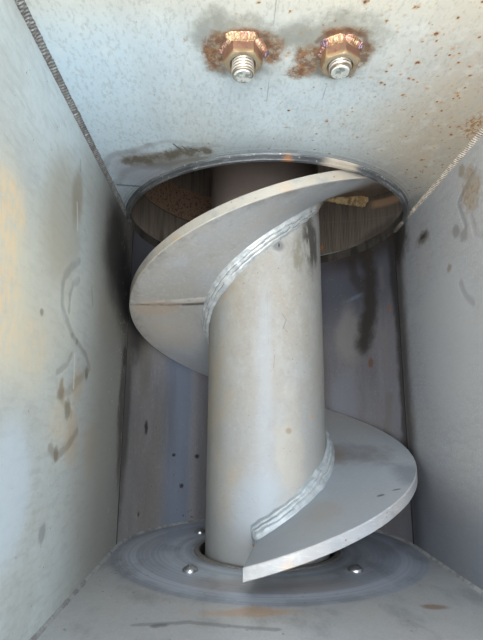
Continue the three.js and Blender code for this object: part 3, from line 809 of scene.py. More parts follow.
def mark_trough(steel):
    """Pale and dark stains, and the long marks along the auger."""
    for centre, reach, tone, strength in (
            ((119, -114, -102), (26, 56, 28), (168, 166, 164), 0.6),
            ((113, -196, -108), (30, 60, 30), (150, 154, 168), 0.5),
            ((-153, -112, -34), (24, 60, 44), (52, 50, 49), 0.85),
            ((-156, -210, -16), (14, 130, 20), (80, 78, 74), 0.8),
            ((-146, -150, -62), (14, 60, 22), (122, 118, 110), 0.5)):
        steel.stain(centre, reach, tone, strength, 0.9, 30)
    for places, wide, tone, strength in (
            (((141, 0, -74), (143, -37, -66), (143, -83, -68), (136, -124, -84)), 21, (66, 62, 58), 0.92),
            (((128, -2, -94), (130, -30, -92), (136, -50, -82)), 12, (70, 66, 62), 0.7),
            (((158, 0, -18), (158, -58, -18), (159, -106, -12), (159, -190, -12), (159, -290, -12)),
             15, (60, 57, 54), 0.85),
            (((152, -36, -46), (152, -58, -44)), 8, (128, 126, 124), 0.6),
            (((151, -118, -46), (152, -160, -44)), 9, (138, 136, 134), 0.6),
            (((119, -64, -107), (137, -58, -82)), 4.5, (148, 166, 190), 0.55),
            (((137, -111, -82), (149, -107, -59), (156, -104, -37)), 1.5, (40, 38, 38), 0.9),
            (((138, -117, -81), (149, -112, -59), (155, -109, -42)), 1.4, (46, 44, 44), 0.8),
            (((145, -94, -68), (152, -90, -50), (156, -93, -35)), 1.8, (52, 49, 48), 0.8),
            (((148, -140, -61), (152, -147, -51), (155, -145, -40)), 1.8, (62, 60, 60), 0.7),
            (((129, -169, -94), (136, -168, -85), (142, -170, -73), (147, -165, -64)),
             3.0, (34, 33, 34), 0.9),
            (((152, -196, -44), (150, -240, -52)), 12, (118, 112, 102), 0.4)):
        steel.coat(steel.stroke(places, wide, 1.1, 45), tone, strength)

# %% [markdown]
# Small things come last: a few rust spots and black drops, crumbs near the drive end, and a
# brown film with rust dots beside the far plate, where process water comes back.


# %% Trough: drops, crumbs and film
def drop_on_trough(steel):
    """Rust spots, black drops, crumbs, and the brown film beside the far plate."""
    for centre, reach, tone in (
            ((153, -88, -33), (4, 4, 5), (176, 104, 56)), ((139, -151, -72), (5, 8, 7), (126, 92, 68))):
        steel.stain(centre, reach, tone, 0.8, 1.0, 120)
    for centre, reach in (
            ((-111, -267, -110), (4, 3, 4)), ((-83, -270, -133), (5, 4, 5)), ((-101, -306, -120), (4, 4, 5)),
            ((-140, -232, -68), (5, 12, 5)), ((-142, -330, -60), (4, 6, 4))):
        steel.stain(centre, reach, (36, 35, 36), 0.9, 0.9, 150)
    crumbs = steel.dots(190, 0.3, 0.7)
    steel.coat(steel.times(steel.near((-92, -340, -124), (30, 12, 24), 0.6), crumbs), (34, 34, 36), 0.9)
    steel.coat(steel.dots(120, 0.12, 0.4), (40, 40, 42), 0.7)
    steel.coat(steel.dots(260, 0.2, 0.4), (190, 190, 184), 0.4)
    film = steel.times(steel.fade(steel.y, far_face - 30 * MM, far_face - 4 * MM),
                       steel.fade(steel.x, 0.06, 0.12))
    steel.coat(film, (66, 60, 56), 0.8)
    steel.coat(steel.times(film, steel.dots(190, 0.26, 0.5)), (136, 96, 62), 0.7)


trough_coat = stainless("trough_steel", (146, 146, 152), (152, 150, 148), (1, 0.3, 1))
for layer in (tint_trough, mark_trough, drop_on_trough):
    layer(trough_coat)
trough_steel = trough_coat.done(dull(trough_coat, 0.4), 0.4)
print("trough finish has", len(trough_steel.node_tree.nodes), "nodes")

# %% [markdown]
# ## Auger steel
# The tube is the lightest surface: matt, with warm patches and small pits, a painted highlight
# along its top, painted shade down its sides, and a plug where a test hole was closed. The flights
# are a smoother grey, and their rims are ground bright. A weld left as laid is light, with dark
# crevices of painted shade between its three passes.

# %% Tube: mill skin and shades
BASKET_SIDE = far_outer + 4 * MM


def browned(steel, tone, strength):
    """Everything past the far plate has a brown coat from the process water."""
    steel.coat(steel.fade(steel.y, far_outer - 16 * MM, BASKET_SIDE), tone, strength)


def skin_of_tube(steel):
    """Matt mill skin with pits and shallow hammered patches."""
    steel.blotch(5.0, 0.36, 0.64, (164, 159, 149))
    fine = steel.noise(300, 4.0, 0.7)
    steel.coat(steel.fade(fine, 0.5, 0.7), (128, 126, 120), 0.25)
    steel.bumps = [(fine, 0.08)]
    steel.blotch(28, 0.5, 0.7, (172, 180, 186), 0.3, (1, 0.5, 1))
    steel.blotch(45, 0.54, 0.72, (150, 144, 130), 0.3, (1, 0.3, 1))
    steel.coat(steel.dots(150, 0.13, 0.4), (110, 98, 80), 0.8)
    steel.coat(steel.dots(90, 0.09, 0.7), (98, 92, 82), 0.8)
    hammered = steel.patches(70, 0.5, 0.62)
    steel.bumps.append((hammered, -0.12))


def shade_tube(steel):
    """Painted highlight in a bluish stripe along the top, painted shade on the sides and the drive end."""
    # painted highlight: a bluish stripe along the top
    stripe = steel.times(steel.fade(steel.x, -0.018, -0.006), steel.fade(steel.x, 0.004, -0.003))
    steel.coat(steel.times(stripe, steel.fade(steel.y, far_face - 0.05, far_face - 0.13)),
               (172, 184, 200), 0.35)
    for scale, tone in ((46, (176, 182, 186)), (120, (138, 136, 130)), (240, (184, 186, 184))):
        steel.blotch(scale, 0.5, 0.68, tone, 0.3, (1, 0.7, 1), 6.0)
    # painted shade: darker towards the drive end
    steel.coat(steel.fade(steel.y, far_face - 0.12, far_face - 0.27), (130, 136, 141), 0.5)
    steel.coat(steel.fade(steel.y, far_face - 0.28, far_face - 0.34), (116, 124, 132), 0.45)
    # painted shade: darker down both sides
    steel.coat(steel.fade(steel.x, 0.016, 0.056), (112, 114, 114), 0.42)
    steel.coat(steel.fade(steel.x, -0.034, -0.06), (116, 116, 110), 0.38)
    brownish = steel.patches(22, 0.46, 0.62, (1, 0.6, 1))
    steel.coat(steel.times(steel.fade(steel.x, -0.02, -0.04), brownish), (160, 146, 122), 0.4)

# %% [markdown]
# A few scratches and spots keep the tube from looking new. Near the far plate water has left
# dark streaks, and a round plug closes an old test hole. The plug is a flat disc with a dark
# slit, so it is painted on and needs no mesh.


# %% Tube: scratches, streaks and plug
def mark_tube(steel):
    """Scratches, spots, dark and pale streaks, the plug, and brown past the far plate."""
    steel.draw((
        ([(-5, -52, 64), (-4.5, -90, 64)], 0.8, (120, 124, 130), 0.6),
        ([(-3, -90, 64), (-2, -150, 64)], 0.9, (138, 142, 148), 0.5),
        ([(12, -118, 62), (16, -124, 61), (13, -133, 62)], 0.9, (120, 118, 112), 0.6),
        ([(9, -128, 62), (17, -136, 61)], 0.7, (110, 106, 98), 0.6),
        ([(4, -160, 63), (3, -172, 63)], 0.8, (110, 104, 92), 0.6)), 0.6)
    steel.coat(steel.near((18, -250, 60), (17, 84, 24), 1.8, 30), (190, 180, 158), 0.2)
    steel.coat(steel.near((-12, -300, 60), (40, 40, 30), 0.9, 16), (150, 162, 174), 0.6)
    for centre, reach, tone in (
            ((17, -232.5, 61), (4, 4, 6), (140, 126, 104)), ((42.6, -219, 47), (2, 2, 3), (176, 128, 60)),
            ((3, -304, 63), (3, 3, 3), (124, 132, 132)), ((-16.8, -334, 61), (1.5, 2, 3), (140, 96, 60))):
        steel.stain(centre, reach, tone, 0.8, 0.5, 120)
    streaks = steel.patches(110, 0.34, 0.5, (1.6, 0.4, 1))
    dark = steel.near((47, -34, 43), (17, 44, 22), 1.0, 60)
    steel.coat(steel.times(dark, streaks), (60, 58, 54), 0.9)
    pale = steel.near((30, -54, 55), (10, 30, 12), 1.0, 60)
    steel.coat(steel.times(pale, streaks), (124, 122, 108), 0.75)
    steel.coat(steel.near((8.9, -46, 63), (8.4, 8.2, 9), 0.15, 120), (118, 121, 122), 0.95)
    steel.coat(steel.near((9.7, -45.6, 63), (1.2, 3.2, 9), 0.4, 300), (44, 40, 38), 0.95)
    browned(steel, (108, 92, 84), 0.85)


tube_coat = Finish("tube_steel", (160, 161, 158))
for layer in (skin_of_tube, shade_tube, mark_tube):
    layer(tube_coat)
tube_steel = tube_coat.done(dull(tube_coat, 0.56), 0.1)
print("tube finish has", len(tube_steel.node_tree.nodes), "nodes")


# %% [markdown]
# The flight is one steel with warm and bluish clouds, a paler patch of painted light on its upper
# left, and painted shade that makes the turn nearest the drive end darker and bluish. The blanks
# were butted and ground at a joint, which shows as a proud band with painted light on it and a
# dark line of painted shade beside it.


# %% Flight: ground and butt joint
def tint_flight(steel):
    """Warm and bluish clouds, painted light on the upper left, painted bluish shade by the drive end."""
    steel.blotch(14, 0.52, 0.72, (188, 172, 154), 0.35)
    steel.blotch(32, 0.54, 0.72, (190, 198, 206), 0.3)
    steel.blotch(70, 0.6, 0.74, (120, 120, 118), 0.25)
    # painted light: a paler patch on the upper left
    steel.stain((-110, -150, -10), (60, 60, 70), (206, 200, 190), 0.6, 0.7, 14)
    # painted shade: bluish and darker towards the drive end
    steel.coat(steel.fade(steel.y, far_face - 0.21, far_face - 0.25), (140, 150, 162), 0.75)


def show_butt(steel):
    """The ground joint between two blanks: a proud band with painted light, a line of painted shade."""
    above_butt = steel.calc("ADD", steel.times(steel.x, 0.105), steel.times(steel.up, 0.9945))
    above_butt = steel.calc("SUBTRACT", above_butt, 13.1 * MM)
    butt_y = steel.calc("ABSOLUTE", steel.calc("SUBTRACT", steel.y, far_face - 95 * MM))
    here = steel.times(steel.fade(steel.x, 0.0, -0.04), steel.fade(butt_y, 50 * MM, 30 * MM))
    uneven = steel.times(here, steel.calc("ADD", 0.3, steel.patches(60, 0.4, 0.6)))
    raised = steel.calc("ABSOLUTE", steel.calc("SUBTRACT", above_butt, 4.5 * MM))
    light_band = steel.times(steel.fade(raised, 5 * MM, 1 * MM), uneven)
    dark_line = steel.times(steel.fade(steel.calc("ABSOLUTE", above_butt), 2.6 * MM, 0.4 * MM), uneven)
    # painted light on the proud band and painted shade in the line beside it
    steel.coat(light_band, (206, 200, 190), 0.5)
    steel.coat(dark_line, (96, 92, 86), 0.7)
    steel.bumps.append((light_band, 0.5))

# %% [markdown]
# The upper turn has dark streaks along its rim, and the lower one smudges and white specks. Past
# the far plate the flight is as brown as the basket, with a rough crust and black dots.


# %% Flight: streaks, smudges and crust
def smudge_flight(steel):
    """Streaks on the upper turn, smudges and white specks on the lower one."""
    steel.stain((-120, -110, 20), (30, 40, 16), (196, 166, 134), 0.35, 1.4, 30)
    steel.stain((-112, -40, 90), (30, 30, 12), (206, 212, 218), 0.5, 1.6, 60)
    upper_side = steel.fade(steel.y, far_face - 0.15, far_face - 0.13)
    edge_streaks = steel.times(upper_side, steel.patches(70, 0.42, 0.62, (1, 1, 0.7), 6.0))
    steel.coat(steel.times(edge_streaks, steel.fade(steel.radius, 0.134, 0.15)), (100, 100, 98), 0.4)
    steel.coat(steel.times(steel.stroke([(-134, -90, 30), (-112, -60, 84), (-88, -50, 112)], 9, 1.8, 60),
                           edge_streaks), (96, 94, 92), 0.5)
    low_side = steel.fade(steel.y, far_face - 0.17, far_face - 0.22)
    for centre, reach, tone, strength in (
            ((44, -298, 88), (22, 30, 26), (146, 130, 104), 0.3),
            ((90, -230, 20), (50, 60, 40), (98, 96, 96), 0.65),
            ((129, -272, 70), (22, 40, 34), (98, 104, 112), 0.55),
            ((20, -310, 110), (40, 30, 30), (150, 150, 146), 0.3),
            ((92, -286, 95), (4, 9, 2), (66, 68, 72), 0.8),
            ((108, -282, 91), (5, 9, 1.6), (66, 68, 72), 0.8),
            ((70, -250, 12), (20, 40, 24), (120, 106, 92), 0.4)):
        steel.coat(steel.times(low_side, steel.near(centre, reach, 1.4, 26)), tone, strength)
    specks = steel.times(steel.near((125, -255, 45), (40, 60, 50), 0.6), steel.dots(110, 0.12, 0.6))
    steel.coat(steel.times(low_side, specks), (236, 238, 238), 0.9)


def crust_flight(steel):
    """Brown crust past the far plate."""
    rough_brown = steel.noise(110, 5.0, 0.7)
    late = steel.fade(steel.y, far_outer, BASKET_SIDE)
    waves = steel.patches(60, 0.44, 0.6, (0.4, 1, 1.6))
    margin = steel.near((112, 12, -92), (60, 24, 60), 0.5, 30)
    steel.coat(steel.times(margin, waves), (86, 78, 68), 0.7)
    browned(steel, (128, 108, 92), 0.9)
    steel.coat(steel.times(steel.fade(rough_brown, 0.5, 0.6), late), (80, 62, 50), 0.7)
    steel.coat(steel.times(steel.dots(160, 0.3, 0.5), late), (46, 36, 32), 0.8)


flight_coat = stainless("flight_steel", (172, 177, 181), (176, 173, 166), (0.5, 1, 0.5))
for layer in (tint_flight, show_butt, smudge_flight, crust_flight):
    layer(flight_coat)
flight_steel = flight_coat.done(dull(flight_coat, 0.42), 0.3)
print("flight finish has", len(flight_steel.node_tree.nodes), "nodes")

# %% [markdown]
# The flight's rim was ground bright and is spotted with rust. The welds share one finish with
# different tones: light where they were left as laid, darker in the crevices as painted shade,
# dark in the joints, striped across the far seams with painted shade between the scales, darker
# on the auger's lower turn as painted shade, and golden for the hard facing.


# %% Ground rim and welds
def rim_finish():
    steel = stainless("ground_rim", (153, 161, 172), (160, 162, 164), (0.2, 1, 0.2), 0.05)
    steel.coat(steel.fade(steel.y, far_face - 0.17, far_face - 0.13), (174, 166, 150), 0.75)
    steel.blotch(34, 0.54, 0.7, (182, 158, 130), 0.5)
    steel.blotch(50, 0.5, 0.68, (128, 138, 142), 0.5)
    steel.blotch(90, 0.56, 0.7, (184, 184, 178), 0.4)
    steel.coat(steel.dots(150, 0.2, 0.4), (120, 96, 70), 0.7)
    browned(steel, (110, 92, 76), 0.8)
    return steel.done(dull(steel, 0.4), 0.3)


def weld_finish(name, light, middle, brown=True, stripe=0.0):
    """A bead's finish, with bright scales, painted shade between them, every so many millimetres up a seam.
    """
    steel = Finish(name, light)
    steel.blotch(110, 0.42, 0.62, middle)
    steel.coat(steel.dots(260, 0.28, 0.4), (70, 70, 70), 0.5)
    if stripe:
        slant = steel.calc("ADD", steel.up, steel.times(steel.y, 0.6))
        wave = steel.calc("SINE", steel.times(slant, 2 * math.pi / (stripe * MM)))
        # painted shade in the valleys between the scales
        steel.coat(steel.fade(wave, 0.2, -0.5), (82, 78, 72), 0.8)
        steel.coat(steel.fade(steel.up, 0.06, 0.0), (58, 54, 50), 0.85)
    if brown:
        # painted shade: darker on the auger's lower turn
        steel.coat(steel.fade(steel.y, far_face - 0.19, far_face - 0.24), (132, 146, 156), 0.6)
        browned(steel, (140, 116, 88), 0.6)
    steel.bumps = [(steel.noise(420, 4.0, 0.6), 0.2)]
    return steel.done(0.45, 0.25)


rim_steel = rim_finish()
auger_weld = weld_finish("auger_weld", (186, 190, 190), (160, 168, 172))
# painted shade: the crevices between passes are a darker copy of the weld
crevice = weld_finish("weld_crevice", (142, 142, 138), (118, 118, 116))
joint_steel = weld_finish("joint_steel", (44, 42, 40), (38, 36, 34), False)
seam_weld = weld_finish("seam_weld", (150, 154, 156), (120, 122, 124), False)
# painted shade and painted light: the left far seam is a shaded copy, the right a lit, beige one
dark_seam = weld_finish("dark_seam", (130, 134, 134), (96, 96, 96), False, 2.6)
light_seam = weld_finish("light_seam", (196, 188, 174), (168, 158, 144), False, 2.6)
golden_weld = weld_finish("hard_facing", (236, 212, 164), (176, 146, 104), False)
print(golden_weld.name, "is the last of the weld finishes")

# %% [markdown]
# ## Bolts, brown basket and bearing
# The nuts took heat tint from their welds, gold to violet, and rust in the hollows. The basket
# sat in brown water: its first rings are smooth, and the screen begins behind them. A lit band of
# painted light and a paler patch of painted reflection lie on its wall. The bearing outside is
# painted cast iron.


# %% Nut and bolt finishes
def tinted_steel():
    steel = Finish("heat_tinted_nut", (128, 96, 80))
    steel.blotch(70, 0.42, 0.6, (106, 76, 64), 0.8)
    steel.blotch(45, 0.54, 0.66, (152, 124, 88), 0.7)
    steel.blotch(300, 0.54, 0.68, (88, 56, 42), 0.5)
    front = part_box("weld_nut_left")[0].y
    steel.coat(steel.fade(steel.y, front + 3.0 * MM, front + 1.2 * MM), (150, 130, 96), 0.7)
    steel.coat(steel.fade(steel.y, front + 0.5 * MM, front + 0.1 * MM), (146, 138, 118), 0.8)
    steel.blotch(110, 0.5, 0.62, (104, 90, 70), 0.45)
    for across, above in nut_places:
        steel.stain((across, -11, above - 13), (14, 6, 9), (120, 112, 96), 0.7)
    steel.bumps = [(steel.noise(300, 5.0, 0.7), 0.2)]
    return steel.done(0.42, 0.5)


def nut_weld_finish():
    steel = Finish("heat_tinted_weld", (164, 140, 108))
    steel.blotch(90, 0.45, 0.6, (160, 118, 104), 0.8)
    steel.blotch(120, 0.46, 0.6, (112, 84, 56), 0.8)
    steel.blotch(420, 0.5, 0.66, (96, 68, 56), 0.5)
    for across, above in ((-18.6, 274.6), (-46.2, 272.8), (14.8, 284.3), (37.2, 282.6)):
        steel.stain((across, -2.5, above), (5.5, 8, 5.5), (140, 88, 78), 0.8, 0.5, 120)
        steel.stain((across, -2.5, above), (3.2, 8, 3.2), (84, 74, 84), 0.9, 0.4, 120)
    steel.stain((-45.5, -2, 280), (6, 8, 10), (104, 78, 70), 0.75, 0.6, 100)
    steel.stain((12.5, -2, 276), (4, 8, 9), (98, 70, 68), 0.8, 0.6, 100)
    steel.bumps = [(steel.noise(300, 5.0, 0.7), 0.15)]
    return steel.done(0.4, 0.45)


def bright_steel():
    """Plain bolt steel, bright on the crests of a thread and brown in its valleys."""
    steel = Finish("bright_bolt", (176, 170, 160))
    steel.coat(steel.noise(300, 4.0, 0.6), (200, 194, 182))
    steel.blotch(160, 0.55, 0.7, (150, 130, 104), 0.5)
    for across, above in nut_places:
        moved = steel.vector("SUBTRACT", steel.place, spot(across, 0, above))
        flat = steel.vector("MULTIPLY", moved, (1, 0, 1))
        from_axis = steel.vector("LENGTH", flat, output="Value")
        here = steel.fade(from_axis, 8 * MM, 7.8 * MM)
        steel.coat(steel.times(here, steel.fade(from_axis, 6.75 * MM, 6.2 * MM)), (92, 78, 64), 0.85)
        tip = steel.fade(from_axis, 5.9 * MM, 5.4 * MM)
        steel.coat(tip, (206, 212, 206), 0.9)
        steel.coat(steel.times(tip, steel.patches(260, 0.46, 0.58)), (120, 124, 120), 0.8)
    steel.bumps = [(steel.noise(500), 0.15)]
    return steel.done(0.34, 0.6)


# %% Basket and bearing finishes
def brown_steel():
    steel = Finish("brown_basket", (124, 115, 104))
    streaks = steel.noise(200, 4.0, 0.6, (1, 0.05, 1))
    steel.coat(steel.fade(streaks, 0.42, 0.66), (84, 75, 69), 0.6)
    steel.blotch(40, 0.5, 0.7, (138, 126, 114), 0.4, (1, 0.3, 1))
    steel.coat(steel.dots(260, 0.22, 0.4), (160, 150, 138), 0.5)
    lower_left = steel.fade(steel.x, -0.02, -0.04)
    beyond = steel.calc("SUBTRACT", steel.y, far_face + 59 * MM)
    ring = steel.times(steel.fade(beyond, -0.5 * MM, 1 * MM), steel.fade(beyond, 49 * MM, 46 * MM))
    joint = steel.fade(steel.calc("ABSOLUTE", beyond), 1.6 * MM, 0.6 * MM)
    steel.coat(steel.times(joint, lower_left), (40, 34, 31), 0.85)
    steel.coat(steel.times(ring, lower_left), (150, 126, 106), 0.9)
    pits = steel.times(steel.times(ring, lower_left), steel.patches(300, 0.5, 0.62))
    steel.coat(pits, (80, 62, 52), 0.8)
    # painted reflection: a paler patch on the lower left
    steel.stain((-112, 35, -92), (30, 24, 30), (136, 128, 116), 0.5, 0.7, 60)
    # painted light: a lit band on the right, cut off above where the flight shades it
    slanted = steel.calc("ADD", steel.y, steel.times(steel.up, 0.337))
    strip = steel.calc("SUBTRACT", slanted, far_face)
    patch = steel.times(steel.fade(strip, 31 * MM, 37 * MM), steel.fade(strip, 46 * MM, 42 * MM))
    right_middle = steel.times(steel.fade(steel.up, -0.066, -0.048), steel.fade(steel.x, 0.1, 0.12))
    patch = steel.times(patch, right_middle)
    steel.coat(patch, (214, 176, 142), 0.8)
    line = steel.fade(steel.calc("ABSOLUTE", steel.calc("SUBTRACT", strip, 19 * MM)), 1.2 * MM, 0.4 * MM)
    steel.coat(steel.times(line, steel.fade(steel.x, 0.07, 0.08)), (136, 128, 118), 0.35)
    steel.stain((91, 23.6, -128), (5, 4, 5), (190, 124, 60), 0.85, 0.9, 200)
    steel.stain((150, 14, -45), (30, 14, 60), (58, 51, 46), 0.6, 0.8, 40)
    steel.bumps = [(streaks, 0.15), (steel.times(ring, lower_left), 1.0)]
    return steel.done(0.5, 0.3)


def painted_iron():
    steel = Finish("painted_iron", (66, 80, 88))
    steel.coat(steel.noise(30), (82, 96, 104))
    steel.blotch(60, 0.62, 0.72, (112, 84, 62), 0.6)
    steel.bumps = [(steel.noise(420), 0.3)]
    return steel.done(0.5, 0.0)


# %% Small finishes
tinted = tinted_steel()
nut_weld = nut_weld_finish()
bright = bright_steel()
brown = brown_steel()
screw_finish = Finish("screw_steel", (156, 160, 164))
screw_finish.blotch(200, 0.45, 0.6, (124, 126, 126), 0.7)
screw_steel = screw_finish.done(0.28, 0.85)
gland_finish = stainless("gland_steel", (124, 124, 122), (110, 108, 104))
gland_finish.coat(gland_finish.fade(gland_finish.radius, 70.6 * MM, 69.2 * MM), (52, 48, 46), 0.8)
gland_steel = gland_finish.done(0.45, 0.4)
iron = painted_iron()
print("finishes", len(bpy.data.materials))

# %% [markdown]
# ## Meshes from sections
# Nearly every piece here is one section carried along a path: a flight is a bar's section on a
# helix, a weld is a lumpy section along a seam, a nut is a hexagon that shrinks at its end. So
# one function joins a row of sections with faces, and another makes the finished piece.


# %% Mesh helpers
def skin(sections, joined=False):
    """Points and faces between sections of equal length, closed at the ends or joined in a ring."""
    count = len(sections[0])
    points = [point for section in sections for point in section]
    faces = []
    last = len(sections) if joined else len(sections) - 1
    for step in range(last):
        here, ahead = step * count, (step + 1) % len(sections) * count
        for index in range(count):
            beside = (index + 1) % count
            faces.append((here + index, here + beside, ahead + beside, ahead + index))
    if not joined:
        faces.append(tuple(range(count - 1, -1, -1)))
        faces.append(tuple(range(len(points) - count, len(points))))
    return points, faces


def finish_piece(piece, body, stands_for, sharp_above):
    """Cleans a mesh, sets its shading, hangs it on its body and hides the solids it stands for."""
    cleaned = bmesh.new()
    cleaned.from_mesh(piece.data)
    bmesh.ops.remove_doubles(cleaned, verts=cleaned.verts, dist=0.01 * MM)
    bmesh.ops.recalc_face_normals(cleaned, faces=cleaned.faces)
    cleaned.to_mesh(piece.data)
    cleaned.free()
    piece.data.polygons.foreach_set("use_smooth", [True] * len(piece.data.polygons))
    piece.data.set_sharp_from_angle(angle=math.radians(sharp_above))
    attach(piece, body)
    if stands_for:
        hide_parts(*stands_for)
    return piece


def make_piece(name, shape, finish, body, stands_for=(), sharp_above=32, other=None, strip=()):
    """A piece in one finish, or with another finish on the faces of a strip."""
    points, faces = shape
    mesh = bpy.data.meshes.new(name)
    mesh.from_pydata(points, [], faces)
    mesh.materials.append(finish)
    if other:
        mesh.materials.append(other)
    for index in strip:
        mesh.polygons[index].material_index = 1
    piece = bpy.data.objects.new(name, mesh)
    bpy.context.scene.collection.objects.link(piece)
    return finish_piece(piece, body, stands_for, sharp_above)


def merged(*shapes):
    """Several shapes as one list of points and faces."""
    points, faces = [], []
    for more_points, more_faces in shapes:
        start = len(points)
        points.extend(more_points)
        faces.extend(tuple(start + index for index in face) for face in more_faces)
    return points, faces


def eased(profile, size):
    """A closed outline with every corner cut back by a small size."""
    result = []
    for index, corner in enumerate(profile):
        here = Vector(corner)
        for other in (Vector(profile[index - 1]), Vector(profile[(index + 1) % len(profile)])):
            step = other - here
            result.append(tuple(here + step * min(0.4, size / max(step.length, 1e-9))))
    return result


def turned(profile, x=0.0, z=None, steps=128, start=0, end=360):
    """A closed outline of radius and y, turned round a line along Y, all round or in part."""
    height = axis_z if z is None else z
    whole = end - start == 360
    sections = []
    for step in range(steps if whole else steps + 1):
        angle = math.radians(start + (end - start) * step / steps)
        sections.append([
            (x + radius * math.sin(angle), y, height + radius * math.cos(angle))
            for radius, y in profile
        ])
    return skin(sections, joined=whole)


# %% [markdown]
# ## Cut plates
# A plate with holes is drawn like a technical drawing: closed outlines on a flat curve, which
# Blender fills, leaving the inner ones open. Extrude gives it thickness, and a small bevel
# breaks the edges, as a grinder would. The faceted plate of the solid model is then hidden.


# %% Plates from outlines
def arc(x, z, radius, start, end, steps=24):
    angles = [math.radians(start + (end - start) * step / steps) for step in range(steps + 1)]
    return [(x + radius * math.cos(angle), z + radius * math.sin(angle)) for angle in angles]


def circle(x, z, radius, steps=96):
    return arc(x, z, radius, 0, 360, steps)[:-1]


def cut_plate(name, outlines, low, high, edge, finish, stands_for, flat=False):
    """A plate with eased edges, filled between its outlines, standing across Y or lying flat."""
    drawing = bpy.data.curves.new(name, "CURVE")
    drawing.dimensions = "2D"
    drawing.fill_mode = "BOTH"
    drawing.extrude = (high - low) / 2 - edge
    drawing.bevel_depth = edge
    drawing.bevel_resolution = 1
    drawing.offset = -edge
    for outline in outlines:
        spline = drawing.splines.new("POLY")
        spline.points.add(len(outline) - 1)
        for point, (across, along) in zip(spline.points, outline):
            point.co = (across, along, 0, 1)
        spline.use_cyclic_u = True
    holder = bpy.data.objects.new(name + "_drawing", drawing)
    mesh = bpy.data.meshes.new_from_object(holder)
    bpy.data.objects.remove(holder)
    middle = (low + high) / 2
    if flat:
        mesh.transform(Matrix.Translation((0, 0, middle)))
    else:
        mesh.transform(Matrix.Translation((0, middle, 0)) @ Matrix.Rotation(math.pi / 2, 4, "X"))
    mesh.name = name
    mesh.materials.clear()
    mesh.materials.append(finish)
    piece = bpy.data.objects.new(name, mesh)
    bpy.context.scene.collection.objects.link(piece)
    return finish_piece(piece, "housing", [stands_for], 20)


# %% End plates
foot_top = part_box("foot_near_left")[1].z
leg_inside = plate_half - 90 * MM
arch_top = foot_top + 80 * MM
ARCH_CORNER = 40 * MM
OPENING = 157 * MM
GLAND_RADIUS = 75 * MM
SCREW_OFFSET = 73 * MM
ROD_OFFSET = 128 * MM
ROD_HOLE = 8.5 * MM
STUD_HOLE = 7.5 * MM
CORNERS = [(-1, -1), (1, -1), (1, 1), (-1, 1)]
lower_half = [(-plate_half, foot_top), (-leg_inside, foot_top)]
lower_half += arc(-leg_inside + ARCH_CORNER, arch_top - ARCH_CORNER, ARCH_CORNER, 180, 90)
lower_half += arc(leg_inside - ARCH_CORNER, arch_top - ARCH_CORNER, ARCH_CORNER, 90, 0)
lower_half += [(leg_inside, foot_top), (plate_half, foot_top)]
square_top = lower_half + [(plate_half, rim_top), (-plate_half, rim_top)]
round_top = lower_half + arc(0, axis_z, plate_half, 0, 180, 96)
stud_holes = [circle(across * MM, axis_z + above * MM, STUD_HOLE, 32) for across, above in nut_places]
rod_holes = [circle(x * ROD_OFFSET, axis_z + z * ROD_OFFSET, ROD_HOLE, 32) for x, z in CORNERS]
opening = circle(0, axis_z, OPENING, 256)
cut_plate("near_plate", [square_top, circle(0, axis_z, GLAND_RADIUS, 160)], near_outer, near_face,
          0.6 * MM, near_steel, "near_end_plate")
cut_plate("far_plate", [square_top, opening, *stud_holes], far_face, far_outer,
          1.2 * MM, far_steel, "far_end_plate")
cut_plate("basket_plate", [round_top, opening, *rod_holes], basket_end, basket_outer,
          1.0 * MM, frame_steel, "basket_end_plate")
print("arch under the plates", round((arch_top - foot_top) / MM), "mm high")

# %% [markdown]
# ## Collar
# The sleeve shows as a narrow ring round the upper part of the opening. A short outline of
# radius and depth, turned through less than half a circle, makes it.

# %% Collar round the opening
COLLAR_HALF_ANGLE = 78
COLLAR_INNER = 155 * MM
collar_outer = collar_high.z - axis_z
collar_profile = eased([(COLLAR_INNER, collar_low.y), (collar_outer, collar_low.y),
                        (collar_outer, far_face), (COLLAR_INNER, far_face)], 0.8 * MM)
make_piece("collar", turned(collar_profile, steps=180, start=-COLLAR_HALF_ANGLE, end=COLLAR_HALF_ANGLE),
           collar_steel, "housing", ["inlet_collar"])
print("collar stands", round((far_face - collar_low.y) / MM, 1), "mm proud")

# %% [markdown]
# ## Rim, feet and walls
# The rim is flat bar with bolt holes for a chute, and the feet are pads with an anchor hole.
# They are cut in the same way as the plates, only lying flat. The side walls are plain sheet,
# so their own solids stay and only take a finish.


# %% Flat bars and sheets
def flat_bar(node, name, holes, edge):
    low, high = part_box(node)
    outline = [(low.x, low.y), (high.x, low.y), (high.x, high.y), (low.x, high.y)]
    cut_plate(name, [outline, *holes], low.z, high.z, edge, frame_steel, node, flat=True)


RIM_HOLE = 5.5 * MM
for side in ("left", "right", "near", "far"):
    low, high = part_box(f"rim_{side}")
    middle = (low + high) / 2
    reach = (high - low) / 2
    long_way = Vector((0, reach.y, 0)) if side in ("left", "right") else Vector((reach.x, 0, 0))
    centres = [middle + long_way * share for share in (-0.75, -0.25, 0.25, 0.75)]
    holes = [circle(centre.x, centre.y, RIM_HOLE, 24) for centre in centres]
    flat_bar(f"rim_{side}", f"rim_bar_{side}", holes, 0.8 * MM)

ANCHOR_HOLE = 7 * MM
ANCHOR_OFFSET = 26 * MM
for place in ("near", "far", "basket"):
    for side in ("left", "right"):
        low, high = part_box(f"foot_{place}_{side}")
        middle = (low + high) / 2
        away = -ANCHOR_OFFSET if place == "near" else ANCHOR_OFFSET
        hole = circle(middle.x, middle.y + away, ANCHOR_HOLE, 24)
        flat_bar(f"foot_{place}_{side}", f"pad_{place}_{side}", [hole], 1.0 * MM)

